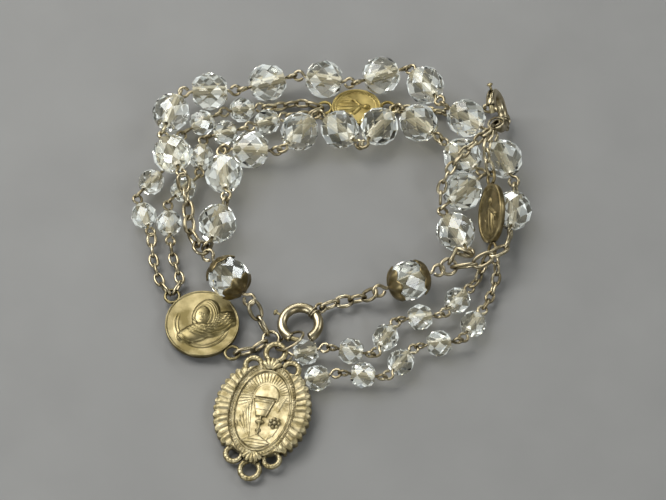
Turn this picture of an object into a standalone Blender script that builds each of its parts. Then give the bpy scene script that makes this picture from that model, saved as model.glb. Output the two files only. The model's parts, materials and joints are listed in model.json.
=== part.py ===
"""A rosary of cut-glass beads on wire, laid down as a bracelet of several strands.

Lengths in this file are millimetres on a table whose top is z = 0. MM turns them into metres where an
object is made. Every link, pin and eye of one strand is fused into that strand's wire, each bead is bored
and turns on its pin, and the medals, clasps and bolts are separate pieces.
"""

import math
from collections import namedtuple

import bmesh
import bpy
import numpy as np
from mathutils import Matrix, Vector

MM = 0.001
UP = Vector((0.0, 0.0, 1.0))

# ---- driving dimensions, in millimetres ----
Bead = namedtuple("Bead", "radius half_length bore half_pin wire eye")
LARGE = Bead(radius=4.05, half_length=3.6, bore=0.55, half_pin=6.15, wire=0.27, eye=0.98)
SMALL = Bead(radius=2.72, half_length=2.35, bore=0.5, half_pin=4.65, wire=0.25, eye=0.92)
CAPPED = Bead(radius=4.15, half_length=3.7, bore=0.6, half_pin=7.3, wire=0.3, eye=1.1)

BITE = 0.12        # how deep two wires of one fused run press into each other
PLAY = 0.2         # the gap between wires of two pieces that move
BEAD_GAP = 0.25    # the least gap between two beads
BEAD_SIDES = 8

FINE_LINK = 2.2    # length of one link of the thin chain, from hold to hold
FINE_WIDTH = 0.8   # half the width of a thin link, at the middle of its wire
HEAVY_LINK = 3.4
HEAVY_WIDTH = 1.15
HEAVY_WIRE = 0.3

RING_RADIUS = 1.6  # the plain rings that gather several chains
END_RING_ROLL = 20

CLASP_RADIUS = 3.7
CLASP_TUBE = 1.02
CLASP_WALL = 0.32
CLASP_MOUTH = 30   # half the mouth's angle, in degrees
BOLT_WIRE = 0.36
BOLT_TIP = -4      # where the bolt's tip stands in the mouth, in degrees
BOLT_TRAVEL = 30
COLLAR_EYE = 1.0   # the small eye a chain holds the clasp by
COLLAR_WIRE = 0.28
COLLAR_REACH = CLASP_RADIUS + CLASP_TUBE + 0.75
KNOB_RADIUS = 0.62

MEDAL_THICK = 1.2
EYELET_WIRE = 0.3
ROUND_RADIUS = 7.5
ROUND_EYE = 1.45
GOLD_HALF = (5.2, 4.3)
GOLD_EYE = 1.4
SIDE_HALF = (6.3, 4.6)
SIDE_EYE = 1.35
PENDANT_HALF = (9.7, 11.2)
PENDANT_THICK = 1.5
PENDANT_FRAME = (5.9, 9.2)      # the raised oval round the picture
PENDANT_SIDE_LOOPS = (3.9, 9.9, 1.6)   # across, along, radius
PENDANT_END_LOOPS = (0.0, 13.1, 1.95)
PENDANT_LOOP_WIRE = 0.55

# ---- where the strands lie: bead centres from the left end to the right end ----
OUTER = [
    (-32.6, 18.4, 8.6), (-33.4, 29.2, 5.2), (-26.0, 35.4, 4.1), (-14.0, 38.0, 4.1), (-1.6, 39.4, 4.1),
    (10.5, 39.0, 4.6), (19.4, 36.4, 5.6), (26.8, 28.6, 8.6), (35.6, 18.8, 4.0), (36.8, 6.4, 4.0),
]
INNER = [
    (-23.6, 4.4, 4.0), (-22.8, 15.2, 4.0), (-17.0, 22.2, 4.0), (-7.2, 25.6, 4.0), (1.2, 26.6, 4.0),
    (10.0, 26.8, 4.0), (19.2, 27.5, 4.0), (25.0, 20.8, 4.0), (26.8, 12.0, 4.0), (25.5, 2.0, 4.0),
]
FRONT_UPPER = [
    (-5.3, -25.7, 2.6), (3.6, -24.7, 2.6), (10.2, -21.6, 2.6), (17.4, -18.1, 2.6), (25.0, -12.9, 2.6),
]
FRONT_LOWER = [
    (-2.3, -31.3, 2.6), (5.6, -30.4, 2.6), (12.9, -27.1, 2.6), (21.3, -24.0, 2.6), (28.1, -18.4, 2.6),
]
SIDE_OUTER = [
    (-38.3, 6.5, 2.6), (-37.3, 15.4, 2.6), (-33.0, 22.2, 2.6), (-27.0, 28.2, 2.6), (-19.5, 32.8, 2.6),
]
SIDE_INNER = [
    (-32.8, 5.0, 2.6), (-31.0, 12.7, 2.6), (-27.4, 20.4, 2.6), (-21.9, 27.0, 2.6), (-14.1, 29.4, 2.6),
]
LEFT_CAPPED = [(-21.1, -10.0, 5.9)]
RIGHT_CAPPED = [(15.4, -9.4, 4.1)]

# ---- the medals and clasps ----
ROUND_PLACE = Vector((-26.4, -18.2, 1.5))
ROUND_TURN = -46.4
GOLD_PLACE = Vector((4.9, 33.9, 1.0))
SIDE_PLACE = Vector((32.45, 5.6, 5.2))
SIDE_TURN = Matrix.Rotation(math.radians(13.0), 3, "X") @ Matrix.Rotation(math.radians(-63.0), 3, "Y")
PENDANT_PLACE = Vector((-14.0, -38.2, 1.9))
PENDANT_TURN = (Matrix.Rotation(math.radians(-11.0), 3, "Z") @ Matrix.Rotation(math.radians(3.5), 3, "X")
                @ Matrix.Rotation(math.radians(-3.0), 3, "Y"))
FRONT_CLASP = Vector((-6.6, -18.4, 2.1))
REAR_CLASP = Vector((34.1, 29.6, 6.7))
REAR_TURN = Matrix.Rotation(math.radians(67.0), 3, "Y") @ Matrix.Rotation(math.radians(-47.0), 3, "Z")
FRONT_COLLAR = 132
REAR_COLLAR = 132
FRONT_KNOB = -118   # where each clasp's thumb knob stands at rest, round its ring
REAR_KNOB = -88


def material(name, colour, metallic, roughness, transmission=0.0):
    made = bpy.data.materials.new(name)
    made.use_nodes = True
    shader = made.node_tree.nodes["Principled BSDF"]
    shader.inputs["Base Color"].default_value = (*colour, 1.0)
    shader.inputs["Metallic"].default_value = metallic
    shader.inputs["Roughness"].default_value = roughness
    shader.inputs["Transmission Weight"].default_value = transmission
    return made


def in_collection(name):
    made = bpy.data.collections.new(name)
    bpy.context.scene.collection.children.link(made)
    return made


for old in list(bpy.data.objects):
    bpy.data.objects.remove(old)

PARTS = in_collection("rosary")
HELPERS = in_collection("rosary_helpers")
GLASS = material("cut_glass", (0.90, 0.88, 0.80), 0.0, 0.05, 0.9)
GILT = material("worn_gilt", (0.62, 0.55, 0.38), 1.0, 0.35)
PALE = material("pale_gilt", (0.72, 0.66, 0.47), 1.0, 0.32)
GOLD = material("yellow_gilt", (0.70, 0.55, 0.20), 1.0, 0.3)

FRAME = bpy.data.objects.new("rosary_frame", None)
PARTS.objects.link(FRAME)


# ---- making objects ----
def place(obj, location, turn=None):
    """Puts an object on the table, under the frame's empty."""
    obj.parent = FRAME
    obj.location = Vector(location) * MM
    if turn is not None:
        obj.rotation_euler = turn.to_euler()
    return obj


def as_helper(obj):
    obj.hide_render = True
    obj.display_type = "WIRE"
    HELPERS.objects.link(obj)
    return obj


def wire_curve(name, points, thickness, closed, sides=4, capped=True):
    """A curve object along points, round in section."""
    data = bpy.data.curves.new(name, "CURVE")
    data.dimensions = "3D"
    data.bevel_depth = thickness * MM
    data.bevel_resolution = (sides - 4) // 2
    data.use_fill_caps = capped
    spline = data.splines.new("POLY")
    spline.points.add(len(points) - 1)
    for target, point in zip(spline.points, points):
        target.co = (*(Vector(point) * MM), 1.0)
    spline.use_cyclic_u = closed
    return bpy.data.objects.new(name, data)


def meshes_of(curves):
    """Turns curve objects into mesh objects of the same names and places, with their caps welded."""
    for curve in curves:
        bpy.context.scene.collection.objects.link(curve)
    depsgraph = bpy.context.evaluated_depsgraph_get()
    made = []
    for curve in curves:
        mesh = bpy.data.meshes.new_from_object(curve.evaluated_get(depsgraph))
        name = curve.name
        bpy.data.objects.remove(curve)
        made.append(bpy.data.objects.new(name, welded(mesh)))
    return made


def welded(mesh):
    """The mesh with its doubled corners made one and its faces turned outwards."""
    work = bmesh.new()
    work.from_mesh(mesh)
    bmesh.ops.remove_doubles(work, verts=work.verts, dist=0.000001)
    bmesh.ops.recalc_face_normals(work, faces=work.faces)
    work.to_mesh(mesh)
    work.free()
    return mesh


def fused(name, pieces, pivot, finish, turn=None):
    """One object made of the first piece with the others joined to it by a Boolean union."""
    body = pieces[0]
    body.name = name
    body.data.materials.clear()
    body.data.materials.append(finish)
    PARTS.objects.link(body)
    place(body, pivot, turn)
    if len(pieces) > 1:
        group = bpy.data.collections.new(name + "_pieces")
        HELPERS.children.link(group)
        for number, piece in enumerate(pieces[1:]):
            piece.name = f"{name}_piece_{number}"
            piece.hide_render = True
            piece.display_type = "WIRE"
            group.objects.link(piece)
            place(piece, pivot, turn)
        join = body.modifiers.new("join", "BOOLEAN")
        join.operation = "UNION"
        join.operand_type = "COLLECTION"
        join.collection = group
        join.solver = "EXACT"
    return body


def turned(name, profile, steps, finish):
    """A solid of revolution about Z. The profile runs down its outer side and closes on itself."""
    mesh = bpy.data.meshes.new(name)
    count = len(profile)
    points = [(radius * MM, 0.0, height * MM) for radius, height in profile]
    mesh.from_pydata(points, [(k, (k + 1) % count) for k in range(count)], [])
    mesh.materials.append(finish)
    body = bpy.data.objects.new(name, mesh)
    spin = body.modifiers.new("turn", "SCREW")
    spin.steps = steps
    spin.render_steps = steps
    spin.use_merge_vertices = True
    spin.merge_threshold = 0.00001
    spin.use_smooth_shade = False
    return body


def level_across(along):
    """The direction across a line that lies level with the table."""
    level = UP.cross(along)
    if level.length < 0.05:
        level = Vector((1.0, 0.0, 0.0)).cross(along)
    return level.normalized()


def side_frame(along, roll):
    """The direction across a link that lies along a line, turned by roll degrees from flat on the table."""
    return Matrix.Rotation(math.radians(roll), 3, along) @ level_across(along)


def roll_towards(along, across):
    """The roll that turns a link along a line to face across."""
    level = level_across(along)
    return math.degrees(math.atan2(across.dot(along.cross(level)), across.dot(level)))


# ---- wires ----
def ring_points(centre, radius, normal, count=10):
    across = normal.orthogonal().normalized()
    other = normal.cross(across).normalized()
    angles = [math.tau * k / count for k in range(count)]
    return [centre + radius * (math.cos(a) * across + math.sin(a) * other) for a in angles]


def link_points(start, end, roll, width, before, after, count=8):
    """An oval link from hold to hold, its wire reaching a little past each hold."""
    along = (end - start).normalized()
    across = side_frame(along, roll)
    first = start - along * before
    last = end + along * after
    middle = (first + last) / 2
    half = (last - first).length / 2
    points = []
    for k in range(count):
        angle = math.tau * k / count
        points.append(middle + math.cos(angle) * half * along + math.sin(angle) * width * across)
    return points


def pin_points(start, end, roll, bead):
    """An eye pin: a straight shank with a wire loop bent at each end."""
    along = (end - start).normalized()
    across = side_frame(along, roll)
    hold = bead.wire - BITE
    loop = [35, 90, 145, 200, 255, 315]
    points = []
    for tip, inward in ((start, along), (end, -along)):
        centre = tip + inward * (bead.eye - hold)
        around = []
        for degrees in loop:
            angle = math.radians(degrees)
            around.append(centre + bead.eye * (math.cos(angle) * inward + math.sin(angle) * across))
        neck = centre + inward * (bead.eye + 0.5)
        points.append([neck, *around])
    return [*reversed(points[0]), *points[1]]


def smooth_path(points, samples=24):
    """A Catmull-Rom curve through the points, as many short steps."""
    first = points[0] + (points[0] - points[1])
    last = points[-1] + (points[-1] - points[-2])
    knots = [first, *points, last]
    path = []
    for a, b, c, d in zip(knots, knots[1:], knots[2:], knots[3:]):
        for k in range(samples):
            t = k / samples
            path.append(0.5 * (2 * b + (c - a) * t + (2 * a - 5 * b + 4 * c - d) * t * t
                               + (3 * b - a - 3 * c + d) * t ** 3))
    path.append(points[-1])
    return path


def even_steps(points, count):
    """Cuts the smooth curve through the points into count pieces of equal length."""
    path = smooth_path([Vector(p) for p in points])
    travelled = [0.0]
    for a, b in zip(path, path[1:]):
        travelled.append(travelled[-1] + (b - a).length)
    steps = []
    for k in range(count + 1):
        wanted = travelled[-1] * k / count
        index = max(i for i, length in enumerate(travelled) if length <= wanted + 1e-9)
        index = min(index, len(path) - 2)
        share = (wanted - travelled[index]) / (travelled[index + 1] - travelled[index])
        steps.append(path[index].lerp(path[index + 1], share))
    return steps


Hoop = namedtuple("Hoop", "centre normal radius wire")


def hoop_hold(hoop, towards):
    """The point of a ring's wire that faces a place outside it."""
    reach = Vector(towards) - hoop.centre
    reach -= hoop.normal * reach.dot(hoop.normal)
    return hoop.centre + hoop.radius * reach.normalized()


def roll_through(hoop, held, along):
    """The roll that sends a link squarely through a ring."""
    tangent = hoop.normal.cross(held - hoop.centre)
    return roll_towards(along, along.cross(tangent))


def hoop_curve(hoop, count=10):
    return wire_curve("ring", ring_points(hoop.centre, hoop.radius, hoop.normal, count), hoop.wire, True)


def hoop_slack(hoop, wire, loose):
    """How far a link reaches past the ring's wire: clear of it when loose, pressed into it when fused."""
    return hoop.wire + wire + PLAY if loose else hoop.wire + wire - 2 * BITE


def chain(points, link, width, wire, sides, count=None, first=None, last=None, first_loose=True,
          last_loose=True):
    """Link outlines along a curve, each turned a quarter from the one before; its ends may go round hoops."""
    points = [Vector(p) for p in points]
    if first:
        points.insert(0, hoop_hold(first, points[0]))
    if last:
        points.append(hoop_hold(last, points[-1]))
    length = sum((b - a).length for a, b in zip(points, points[1:]))
    count = count or max(1, round(length / link))
    holds = even_steps(points, count)
    ways = [(b - a).normalized() for a, b in zip(holds, holds[1:])]
    rolls = [90 * k for k in range(count)]
    if last:
        wanted = roll_through(last, holds[-1], ways[-1])
        rolls = [wanted + 90 * (k - count + 1) for k in range(count)]
    if first:
        wanted = roll_through(first, holds[0], ways[0])
        rest = (wanted - rolls[0] + 90) % 180 - 90
        rolls = [angle + rest * (1 - k / max(1, count - 1)) for k, angle in enumerate(rolls)]
    outlines = []
    for k, (a, b) in enumerate(zip(holds, holds[1:])):
        before = hoop_slack(first, wire, first_loose) if first and k == 0 else wire - BITE
        after = hoop_slack(last, wire, last_loose) if last and k == count - 1 else wire - BITE
        outline = link_points(a, b, rolls[k], width, before, after, sides)
        outlines.append(wire_curve("link", outline, wire, True))
    return outlines


def heavy_chain(points, **options):
    return chain(points, HEAVY_LINK, HEAVY_WIDTH, HEAVY_WIRE, 6, **options)


def fine_chain(points, **options):
    return chain(points, FINE_LINK, FINE_WIDTH, SMALL.wire, 6, **options)


# ---- laying the strands down ----
Strand = namedtuple("Strand", "name bead centres start end sides")


def first_junctions(strand):
    """The pins' meeting points before they settle: between two beads, pushed out to the slack side."""
    centres = [Vector(c) for c in strand.centres]
    points = [Vector(strand.start)]
    for here, there, side in zip(centres, centres[1:], strand.sides):
        across = UP.cross(there - here).normalized()
        points.append((here + there) / 2 + across * side * 2.0)
    points.append(Vector(strand.end))
    return points


def settle(strands, rounds=500):
    """Lays the pins down: each keeps its length, and its bead keeps clear of the others and of the table."""
    points = []
    pins = []
    for strand in strands:
        base = len(points)
        points += first_junctions(strand)
        for k, centre in enumerate(strand.centres):
            pins.append((base + k, base + k + 1, strand.bead.half_pin, strand.bead.radius, centre))
    where = np.array([tuple(p) for p in points])
    start = np.array([p[0] for p in pins])
    end = np.array([p[1] for p in pins])
    length = np.array([2 * p[2] for p in pins])
    radius = np.array([p[3] for p in pins])
    target = np.array([p[4] for p in pins])
    apart = radius[:, None] + radius[None, :] + BEAD_GAP
    eyes = np.array([eye for strand in strands for eye in [strand.bead.eye] * (len(strand.centres) + 1)])
    anchors = where.copy()
    ends = np.zeros(len(where), bool)
    base = 0
    for strand in strands:
        ends[base] = True
        base += len(strand.centres) + 1
        ends[base - 1] = True
    reach = eyes[:, None] + radius[None, :] + 0.4
    reach[start, np.arange(len(pins))] = 0.0
    reach[end, np.arange(len(pins))] = 0.0
    between = eyes[:, None] + eyes[None, :] + 0.5
    np.fill_diagonal(between, 0.0)
    for _ in range(rounds):
        middle = (where[start] + where[end]) / 2
        move = 0.2 * (target - middle)
        gap = middle[:, None] - middle[None, :]
        distance = np.linalg.norm(gap, axis=2) + 1e-9
        push = np.clip(apart - distance, 0, None)
        np.fill_diagonal(push, 0)
        move += 0.5 * (gap / distance[..., None] * push[..., None]).sum(1)
        move[:, 2] += np.clip(radius + 0.02 - (middle[:, 2] + move[:, 2]), 0, None)
        gap = where[:, None] - middle[None, :]
        distance = np.linalg.norm(gap, axis=2) + 1e-9
        push = 0.5 * gap / distance[..., None] * np.clip(reach - distance, 0, None)[..., None]
        push[..., 2] = 0.0
        away = push.sum(1)
        move -= 0.5 * push.sum(0)
        gap = where[:, None] - where[None, :]
        distance = np.linalg.norm(gap, axis=2) + 1e-9
        push = 0.5 * gap / distance[..., None] * np.clip(between - distance, 0, None)[..., None]
        push[..., 2] = 0.0
        away += push.sum(1)
        np.add.at(where, start, move)
        np.add.at(where, end, move)
        where += away
        level = np.zeros(len(where))
        shared = np.zeros(len(where))
        for tip in (start, end):
            np.add.at(level, tip, middle[:, 2])
            np.add.at(shared, tip, 1.0)
        where[:, 2] += 0.3 * np.where(ends, 0.0, level / shared - where[:, 2])
        where[ends] += 0.3 * (anchors[ends] - where[ends])
        for _ in range(4):
            along = where[end] - where[start]
            size = np.linalg.norm(along, axis=1)
            fix = along * (0.5 * (size - length) / size)[:, None]
            np.add.at(where, start, 0.7 * fix)
            np.add.at(where, end, -0.7 * fix)
    found = {}
    base = 0
    for strand in strands:
        count = len(strand.centres) + 1
        found[strand.name] = [Vector(p) for p in where[base:base + count].tolist()]
        base += count
    return found


STRANDS = [
    Strand("outer", LARGE, OUTER, (-31.2, 13.0, 8.3), (36.0, 0.6, 4.0), (-1, 1, 0, 0.2, 0.2, 1, 1, -1, 1)),
    Strand("inner", LARGE, INNER, (-25.2, -1.2, 4.0), (27.8, -3.4, 4.0), (0, 1, -1, 1, -1, 1, 1, 0.5, -1)),
    Strand("front_upper", SMALL, FRONT_UPPER, (-9.6, -25.5, 1.0), (28.4, -9.6, 1.5), (0, -1, 1, 0)),
    Strand("front_lower", SMALL, FRONT_LOWER, (-7.4, -31.4, 1.0), (30.8, -14.4, 1.5), (0, -1, 0, -1)),
    Strand("side_outer", SMALL, SIDE_OUTER, (-37.2, 2.4, 1.5), (-15.4, 33.2, 1.5), (1, -1, 1, 1)),
    Strand("side_inner", SMALL, SIDE_INNER, (-33.8, 1.0, 1.5), (-10.2, 31.0, 1.5), (1, -1, 1, -1)),
    Strand("left_capped", CAPPED, LEFT_CAPPED, (-25.7, -4.3, 6.4), (-16.4, -15.0, 5.2), ()),
    Strand("right_capped", CAPPED, RIGHT_CAPPED, (8.5, -12.0, 3.2), (22.2, -6.8, 3.6), ()),
]
JUNCTIONS = settle(STRANDS)


def bead_profile(bead):
    """Half a cut bead's section: five flats from one end face to the other, and the bore."""
    shoulder = 0.84 * bead.radius
    face = math.sqrt(bead.radius ** 2 - bead.half_length ** 2)
    rise = math.sqrt(bead.radius ** 2 - shoulder ** 2)
    return [
        (face, bead.half_length), (shoulder, rise), (bead.radius, 0.0), (shoulder, -rise),
        (face, -bead.half_length), (bead.bore, -bead.half_length), (bead.bore, bead.half_length),
    ]


def make_beads(strand):
    holds = JUNCTIONS[strand.name]
    for number, (start, end) in enumerate(zip(holds, holds[1:])):
        label = f"bead_{strand.name}_{number + 1:02d}" if len(holds) > 2 else f"bead_{strand.name}"
        body = turned(label, bead_profile(strand.bead), BEAD_SIDES, GLASS)
        PARTS.objects.link(body)
        along = (end - start).normalized()
        place(body, (start + end) / 2, along.to_track_quat("Z", "Y").to_matrix())


def pins_of(strand, first_roll):
    holds = JUNCTIONS[strand.name]
    curves = []
    for number, (start, end) in enumerate(zip(holds, holds[1:])):
        roll = first_roll + 90 * number
        curves.append(wire_curve("pin", pin_points(start, end, roll, strand.bead), strand.bead.wire, False))
    return curves



def fused_wire(name, curves, pivot):
    """A strand's wire: every pin, eye and link of it, with the object's origin on the hold it swings from."""
    pieces = meshes_of(curves)
    for piece in pieces:
        piece.data.transform(Matrix.Translation(-Vector(pivot) * MM))
    return fused(name, pieces, pivot, GILT)


# ---- medals ----
def plate(name, outline, thickness):
    """A flat solid of the outline, its underside at z = 0."""
    data = bpy.data.curves.new(name, "CURVE")
    data.dimensions = "2D"
    data.fill_mode = "BOTH"
    data.extrude = thickness / 2 * MM
    spline = data.splines.new("POLY")
    spline.points.add(len(outline) - 1)
    for target, (x, y) in zip(spline.points, outline):
        target.co = (x * MM, y * MM, 0.0, 1.0)
    spline.use_cyclic_u = True
    solid = meshes_of([bpy.data.objects.new(name, data)])[0]
    solid.data.transform(Matrix.Translation((0.0, 0.0, thickness / 2 * MM)))
    return solid


def oval(half_width, half_height, count):
    angles = [math.tau * k / count for k in range(count)]
    return [(half_width * math.cos(a), half_height * math.sin(a)) for a in angles]


def oval_ring(name, centre, half_width, half_height, wire, count, sides=4):
    cx, cy, cz = centre
    points = [(cx + x, cy + y, cz) for x, y in oval(half_width, half_height, count)]
    return meshes_of([wire_curve(name, points, wire, True, sides)])[0]


def eyelet(name, angle, reach, radius):
    """A wire loop standing out from a medal's edge, in the medal's own plane."""
    centre = eyelet_centre(angle, reach, radius)
    points = ring_points(centre + UP * (MEDAL_THICK / 2), radius, UP, 10)
    return meshes_of([wire_curve(name, points, EYELET_WIRE, True)])[0]


def eyelet_centre(angle, reach, radius):
    along = Vector((math.cos(math.radians(angle)), math.sin(math.radians(angle)), 0.0))
    return along * (reach + radius)


def medal(name, outline, reach, angles, radius, pieces, base, finish, turn):
    """A medal: its plate, whatever stands on the plate, and an eyelet at each of the angles."""
    body = plate(name, outline, MEDAL_THICK)
    eyes = [eyelet("eye", angle, reach, radius) for angle in angles]
    return fused(name, [body, *pieces, *eyes], base, finish, turn)


def round_medal():
    """The round medal: a disc with a raised rim and an eyelet at each end of one diameter."""
    rim = oval_ring("rim", (0, 0, MEDAL_THICK), ROUND_RADIUS - 0.45, ROUND_RADIUS - 0.45, 0.3, 24)
    turn = Matrix.Rotation(math.radians(ROUND_TURN), 3, "Z")
    medal("round_medal", oval(ROUND_RADIUS, ROUND_RADIUS, 24), ROUND_RADIUS, (0.0, 180.0), ROUND_EYE, [rim],
          ROUND_PLACE - UP * MEDAL_THICK / 2, GILT, turn)


def gold_medal():
    medal("gold_medal", oval(*GOLD_HALF, 24), GOLD_HALF[0], (0.0, 180.0), GOLD_EYE, [],
          GOLD_PLACE - UP * MEDAL_THICK / 2, GOLD, Matrix.Identity(3))


def side_medal():
    """The side medal stands on its edge between two strands, its eyelets at its upper and lower ends."""
    base = SIDE_PLACE - SIDE_TURN @ UP * (MEDAL_THICK / 2)
    medal("side_medal", oval(SIDE_HALF[1], SIDE_HALF[0], 24), SIDE_HALF[0], (90.0, 270.0), SIDE_EYE, [],
          base, GOLD, SIDE_TURN)


def pendant_outline():
    """The fluted edge: an oval whose two sides are cut into rays."""
    points = []
    count = 56
    for k in range(count):
        angle = math.tau * k / count
        side = abs(math.cos(angle)) > 0.6
        scale = (0.95 if k % 2 else 1.0) if side else 0.9
        points.append((PENDANT_HALF[0] * scale * math.cos(angle), PENDANT_HALF[1] * scale * math.sin(angle)))
    return points


def pendant_medal():
    """The hanging medal: a rayed oval plate, a raised oval frame, and three loops above and below."""
    body = plate("pendant_medal", pendant_outline(), PENDANT_THICK)
    pieces = [oval_ring("frame", (0, 0, PENDANT_THICK), *PENDANT_FRAME, 0.35, 24)]
    middle = PENDANT_THICK / 2
    for sign in (1, -1):
        across, along, radius = PENDANT_SIDE_LOOPS
        for x, y, size in ((-across, along, radius), PENDANT_SIDE_LOOPS, PENDANT_END_LOOPS):
            pieces.append(oval_ring("loop", (x, sign * y, middle), size, size, PENDANT_LOOP_WIRE, 10))
        fan = plate("fan", oval(1.5, 1.3, 10), 1.0)
        fan.data.transform(Matrix.Translation(Vector((0, sign * 10.5, 0.25)) * MM))
        pieces.append(fan)
    base = PENDANT_PLACE - PENDANT_TURN @ UP * middle
    fused("pendant_medal", [body, *pieces], base, PALE, PENDANT_TURN)


# ---- spring-ring clasps ----
def arc(radius, start, end, count):
    """Points along part of a circle in the clasp's plane. 0 degrees is the middle of the mouth, at -Y."""
    points = []
    for k in range(count + 1):
        angle = math.radians(start + (end - start) * k / count)
        points.append((radius * math.sin(angle), -radius * math.cos(angle), 0.0))
    return points


def clasp_point(angle, radius, height=0.0):
    x, y, _ = arc(radius, angle, angle, 1)[0]
    return Vector((x, y, height))


def collar_hoop(centre, turn, collar_angle):
    return Hoop(centre + turn @ clasp_point(collar_angle, COLLAR_REACH), turn @ UP, COLLAR_EYE, COLLAR_WIRE)


def clasp(label, centre, turn, collar_angle, knob):
    """A spring ring: a hollow tube bent to a ring with a mouth, and a bolt that slides inside it."""
    tube = meshes_of([wire_curve(label + "_ring", arc(CLASP_RADIUS, CLASP_MOUTH, 360 - CLASP_MOUTH, 16),
                                 CLASP_TUBE, False, 8, False)])[0]
    tube.name = label + "_ring"
    tube.data.materials.append(GILT)
    PARTS.objects.link(tube)
    place(tube, centre, turn)
    wall = tube.modifiers.new("wall", "SOLIDIFY")
    wall.thickness = CLASP_WALL * MM
    wall.offset = -1.0

    slot_points = arc(CLASP_RADIUS + CLASP_TUBE, knob - BOLT_TRAVEL - 9, knob + BOLT_TRAVEL + 13, 6)
    slot = meshes_of([wire_curve(label + "_slot", slot_points, 0.62, False, 4)])[0]
    as_helper(slot)
    place(slot, centre, turn)
    cut = tube.modifiers.new("slot", "BOOLEAN")
    cut.operation = "DIFFERENCE"
    cut.object = slot
    cut.solver = "EXACT"

    eye_centre = clasp_point(collar_angle, COLLAR_REACH)
    around = ring_points(eye_centre, COLLAR_EYE, UP, 8)
    eye = meshes_of([wire_curve(label + "_eye", around, COLLAR_WIRE, True)])[0]
    as_helper(eye)
    place(eye, centre, turn)
    join = tube.modifiers.new("eye", "BOOLEAN")
    join.operation = "UNION"
    join.object = eye
    join.solver = "EXACT"

    bolt = wire_curve("bolt", arc(CLASP_RADIUS, knob - 8, BOLT_TIP, 10), BOLT_WIRE, False, 6)
    foot = clasp_point(knob, CLASP_RADIUS + 0.1)
    stem_end = clasp_point(knob, CLASP_RADIUS + CLASP_TUBE + 0.7)
    stem = wire_curve("stem", [foot, stem_end], 0.22, False, 6)
    ball = sphere("ball", stem_end + stem_end.normalized() * 0.3, KNOB_RADIUS)
    fused(label + "_bolt", [*meshes_of([bolt, stem]), ball], centre, PALE, turn)


def sphere(name, centre, radius):
    bpy.ops.mesh.primitive_uv_sphere_add(segments=8, ring_count=6, radius=radius * MM)
    made = bpy.context.object
    made.name = name
    made.data.transform(Matrix.Translation(Vector(centre) * MM))
    for home in list(made.users_collection):
        home.objects.unlink(made)
    return made


# ---- the wires of each strand ----
def hold(name, index):
    return JUNCTIONS[name][index].copy()


def outward(name, index):
    """The direction in which a strand leaves its last pin, at either end."""
    holds = JUNCTIONS[name]
    if index == 0:
        return (holds[0] - holds[1]).normalized()
    return (holds[-1] - holds[-2]).normalized()


def end_ring(name, index):
    """The ring on a capped bead's pin that gathers the strands."""
    start = hold(name, index)
    along = outward(name, index)
    normal = along.cross(side_frame(along, END_RING_ROLL)).normalized()
    return Hoop(start + along * (RING_RADIUS - CAPPED.wire + BITE), normal, RING_RADIUS, CAPPED.wire)


def cap(bead, place_at, along):
    """A cup that covers one end of a capped bead and is held by the wire through it."""
    inner = bead.radius + 0.25
    outer = inner + 0.35
    angles = [math.radians(a) for a in (50, 34, 18, 4)]
    outside = [(outer * math.sin(a), outer * math.cos(a)) for a in reversed(angles)]
    inside = [(inner * math.sin(a), inner * math.cos(a)) for a in angles]
    inside[-1] = (0.2, inner)
    outside[0] = (0.2, outer)
    shell = turned("cap", [*outside, *inside], 10, GILT)
    return place(shell, place_at, along.to_track_quat("Z", "Y").to_matrix())


def add_caps(body, strand):
    first, last = JUNCTIONS[strand.name]
    middle = (first + last) / 2
    along = (last - first).normalized()
    group = body.modifiers["join"].collection
    for direction in (along, -along):
        shell = cap(strand.bead, middle, direction)
        shell.hide_render = True
        shell.display_type = "WIRE"
        group.objects.link(shell)


by_name = {strand.name: strand for strand in STRANDS}


def medal_hoop(centre, turn, angle, reach, radius):
    """The eyelet at one end of a medal, as the chains meet it."""
    return Hoop(centre + turn @ eyelet_centre(angle, reach, radius), turn @ UP, radius, EYELET_WIRE)


LEFT_RING = end_ring("left_capped", 0)
RIGHT_RING = end_ring("right_capped", -1)
TAIL_RING = Hoop(Vector((-12.47, -21.39, 1.3)), UP, RING_RADIUS, HEAVY_WIRE)
ROUND_BASIS = Matrix.Rotation(math.radians(ROUND_TURN), 3, "Z")
ROUND_RIGHT = medal_hoop(ROUND_PLACE, ROUND_BASIS, 0, ROUND_RADIUS, ROUND_EYE)
ROUND_LEFT = medal_hoop(ROUND_PLACE, ROUND_BASIS, 180, ROUND_RADIUS, ROUND_EYE)
GOLD_LEFT = medal_hoop(GOLD_PLACE, Matrix.Identity(3), 180, GOLD_HALF[0], GOLD_EYE)
GOLD_RIGHT = medal_hoop(GOLD_PLACE, Matrix.Identity(3), 0, GOLD_HALF[0], GOLD_EYE)
SIDE_TOP = medal_hoop(SIDE_PLACE, SIDE_TURN, 90, SIDE_HALF[0], SIDE_EYE)
SIDE_BOTTOM = medal_hoop(SIDE_PLACE, SIDE_TURN, 270, SIDE_HALF[0], SIDE_EYE)
FRONT_EYE = collar_hoop(FRONT_CLASP, Matrix.Identity(3), FRONT_COLLAR)
REAR_EYE = collar_hoop(REAR_CLASP, REAR_TURN, REAR_COLLAR)
JUMP_RING = Hoop(Vector((-8.73, -22.65, 2.72)), Vector((-0.47, 0.53, 0.71)).normalized(), 3.09, HEAVY_WIRE)
DROP_RING = Hoop(Vector((33.75, 26.04, 7.53)), Vector((0.28, -0.26, -0.92)).normalized(), 1.61, SMALL.wire)


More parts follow.
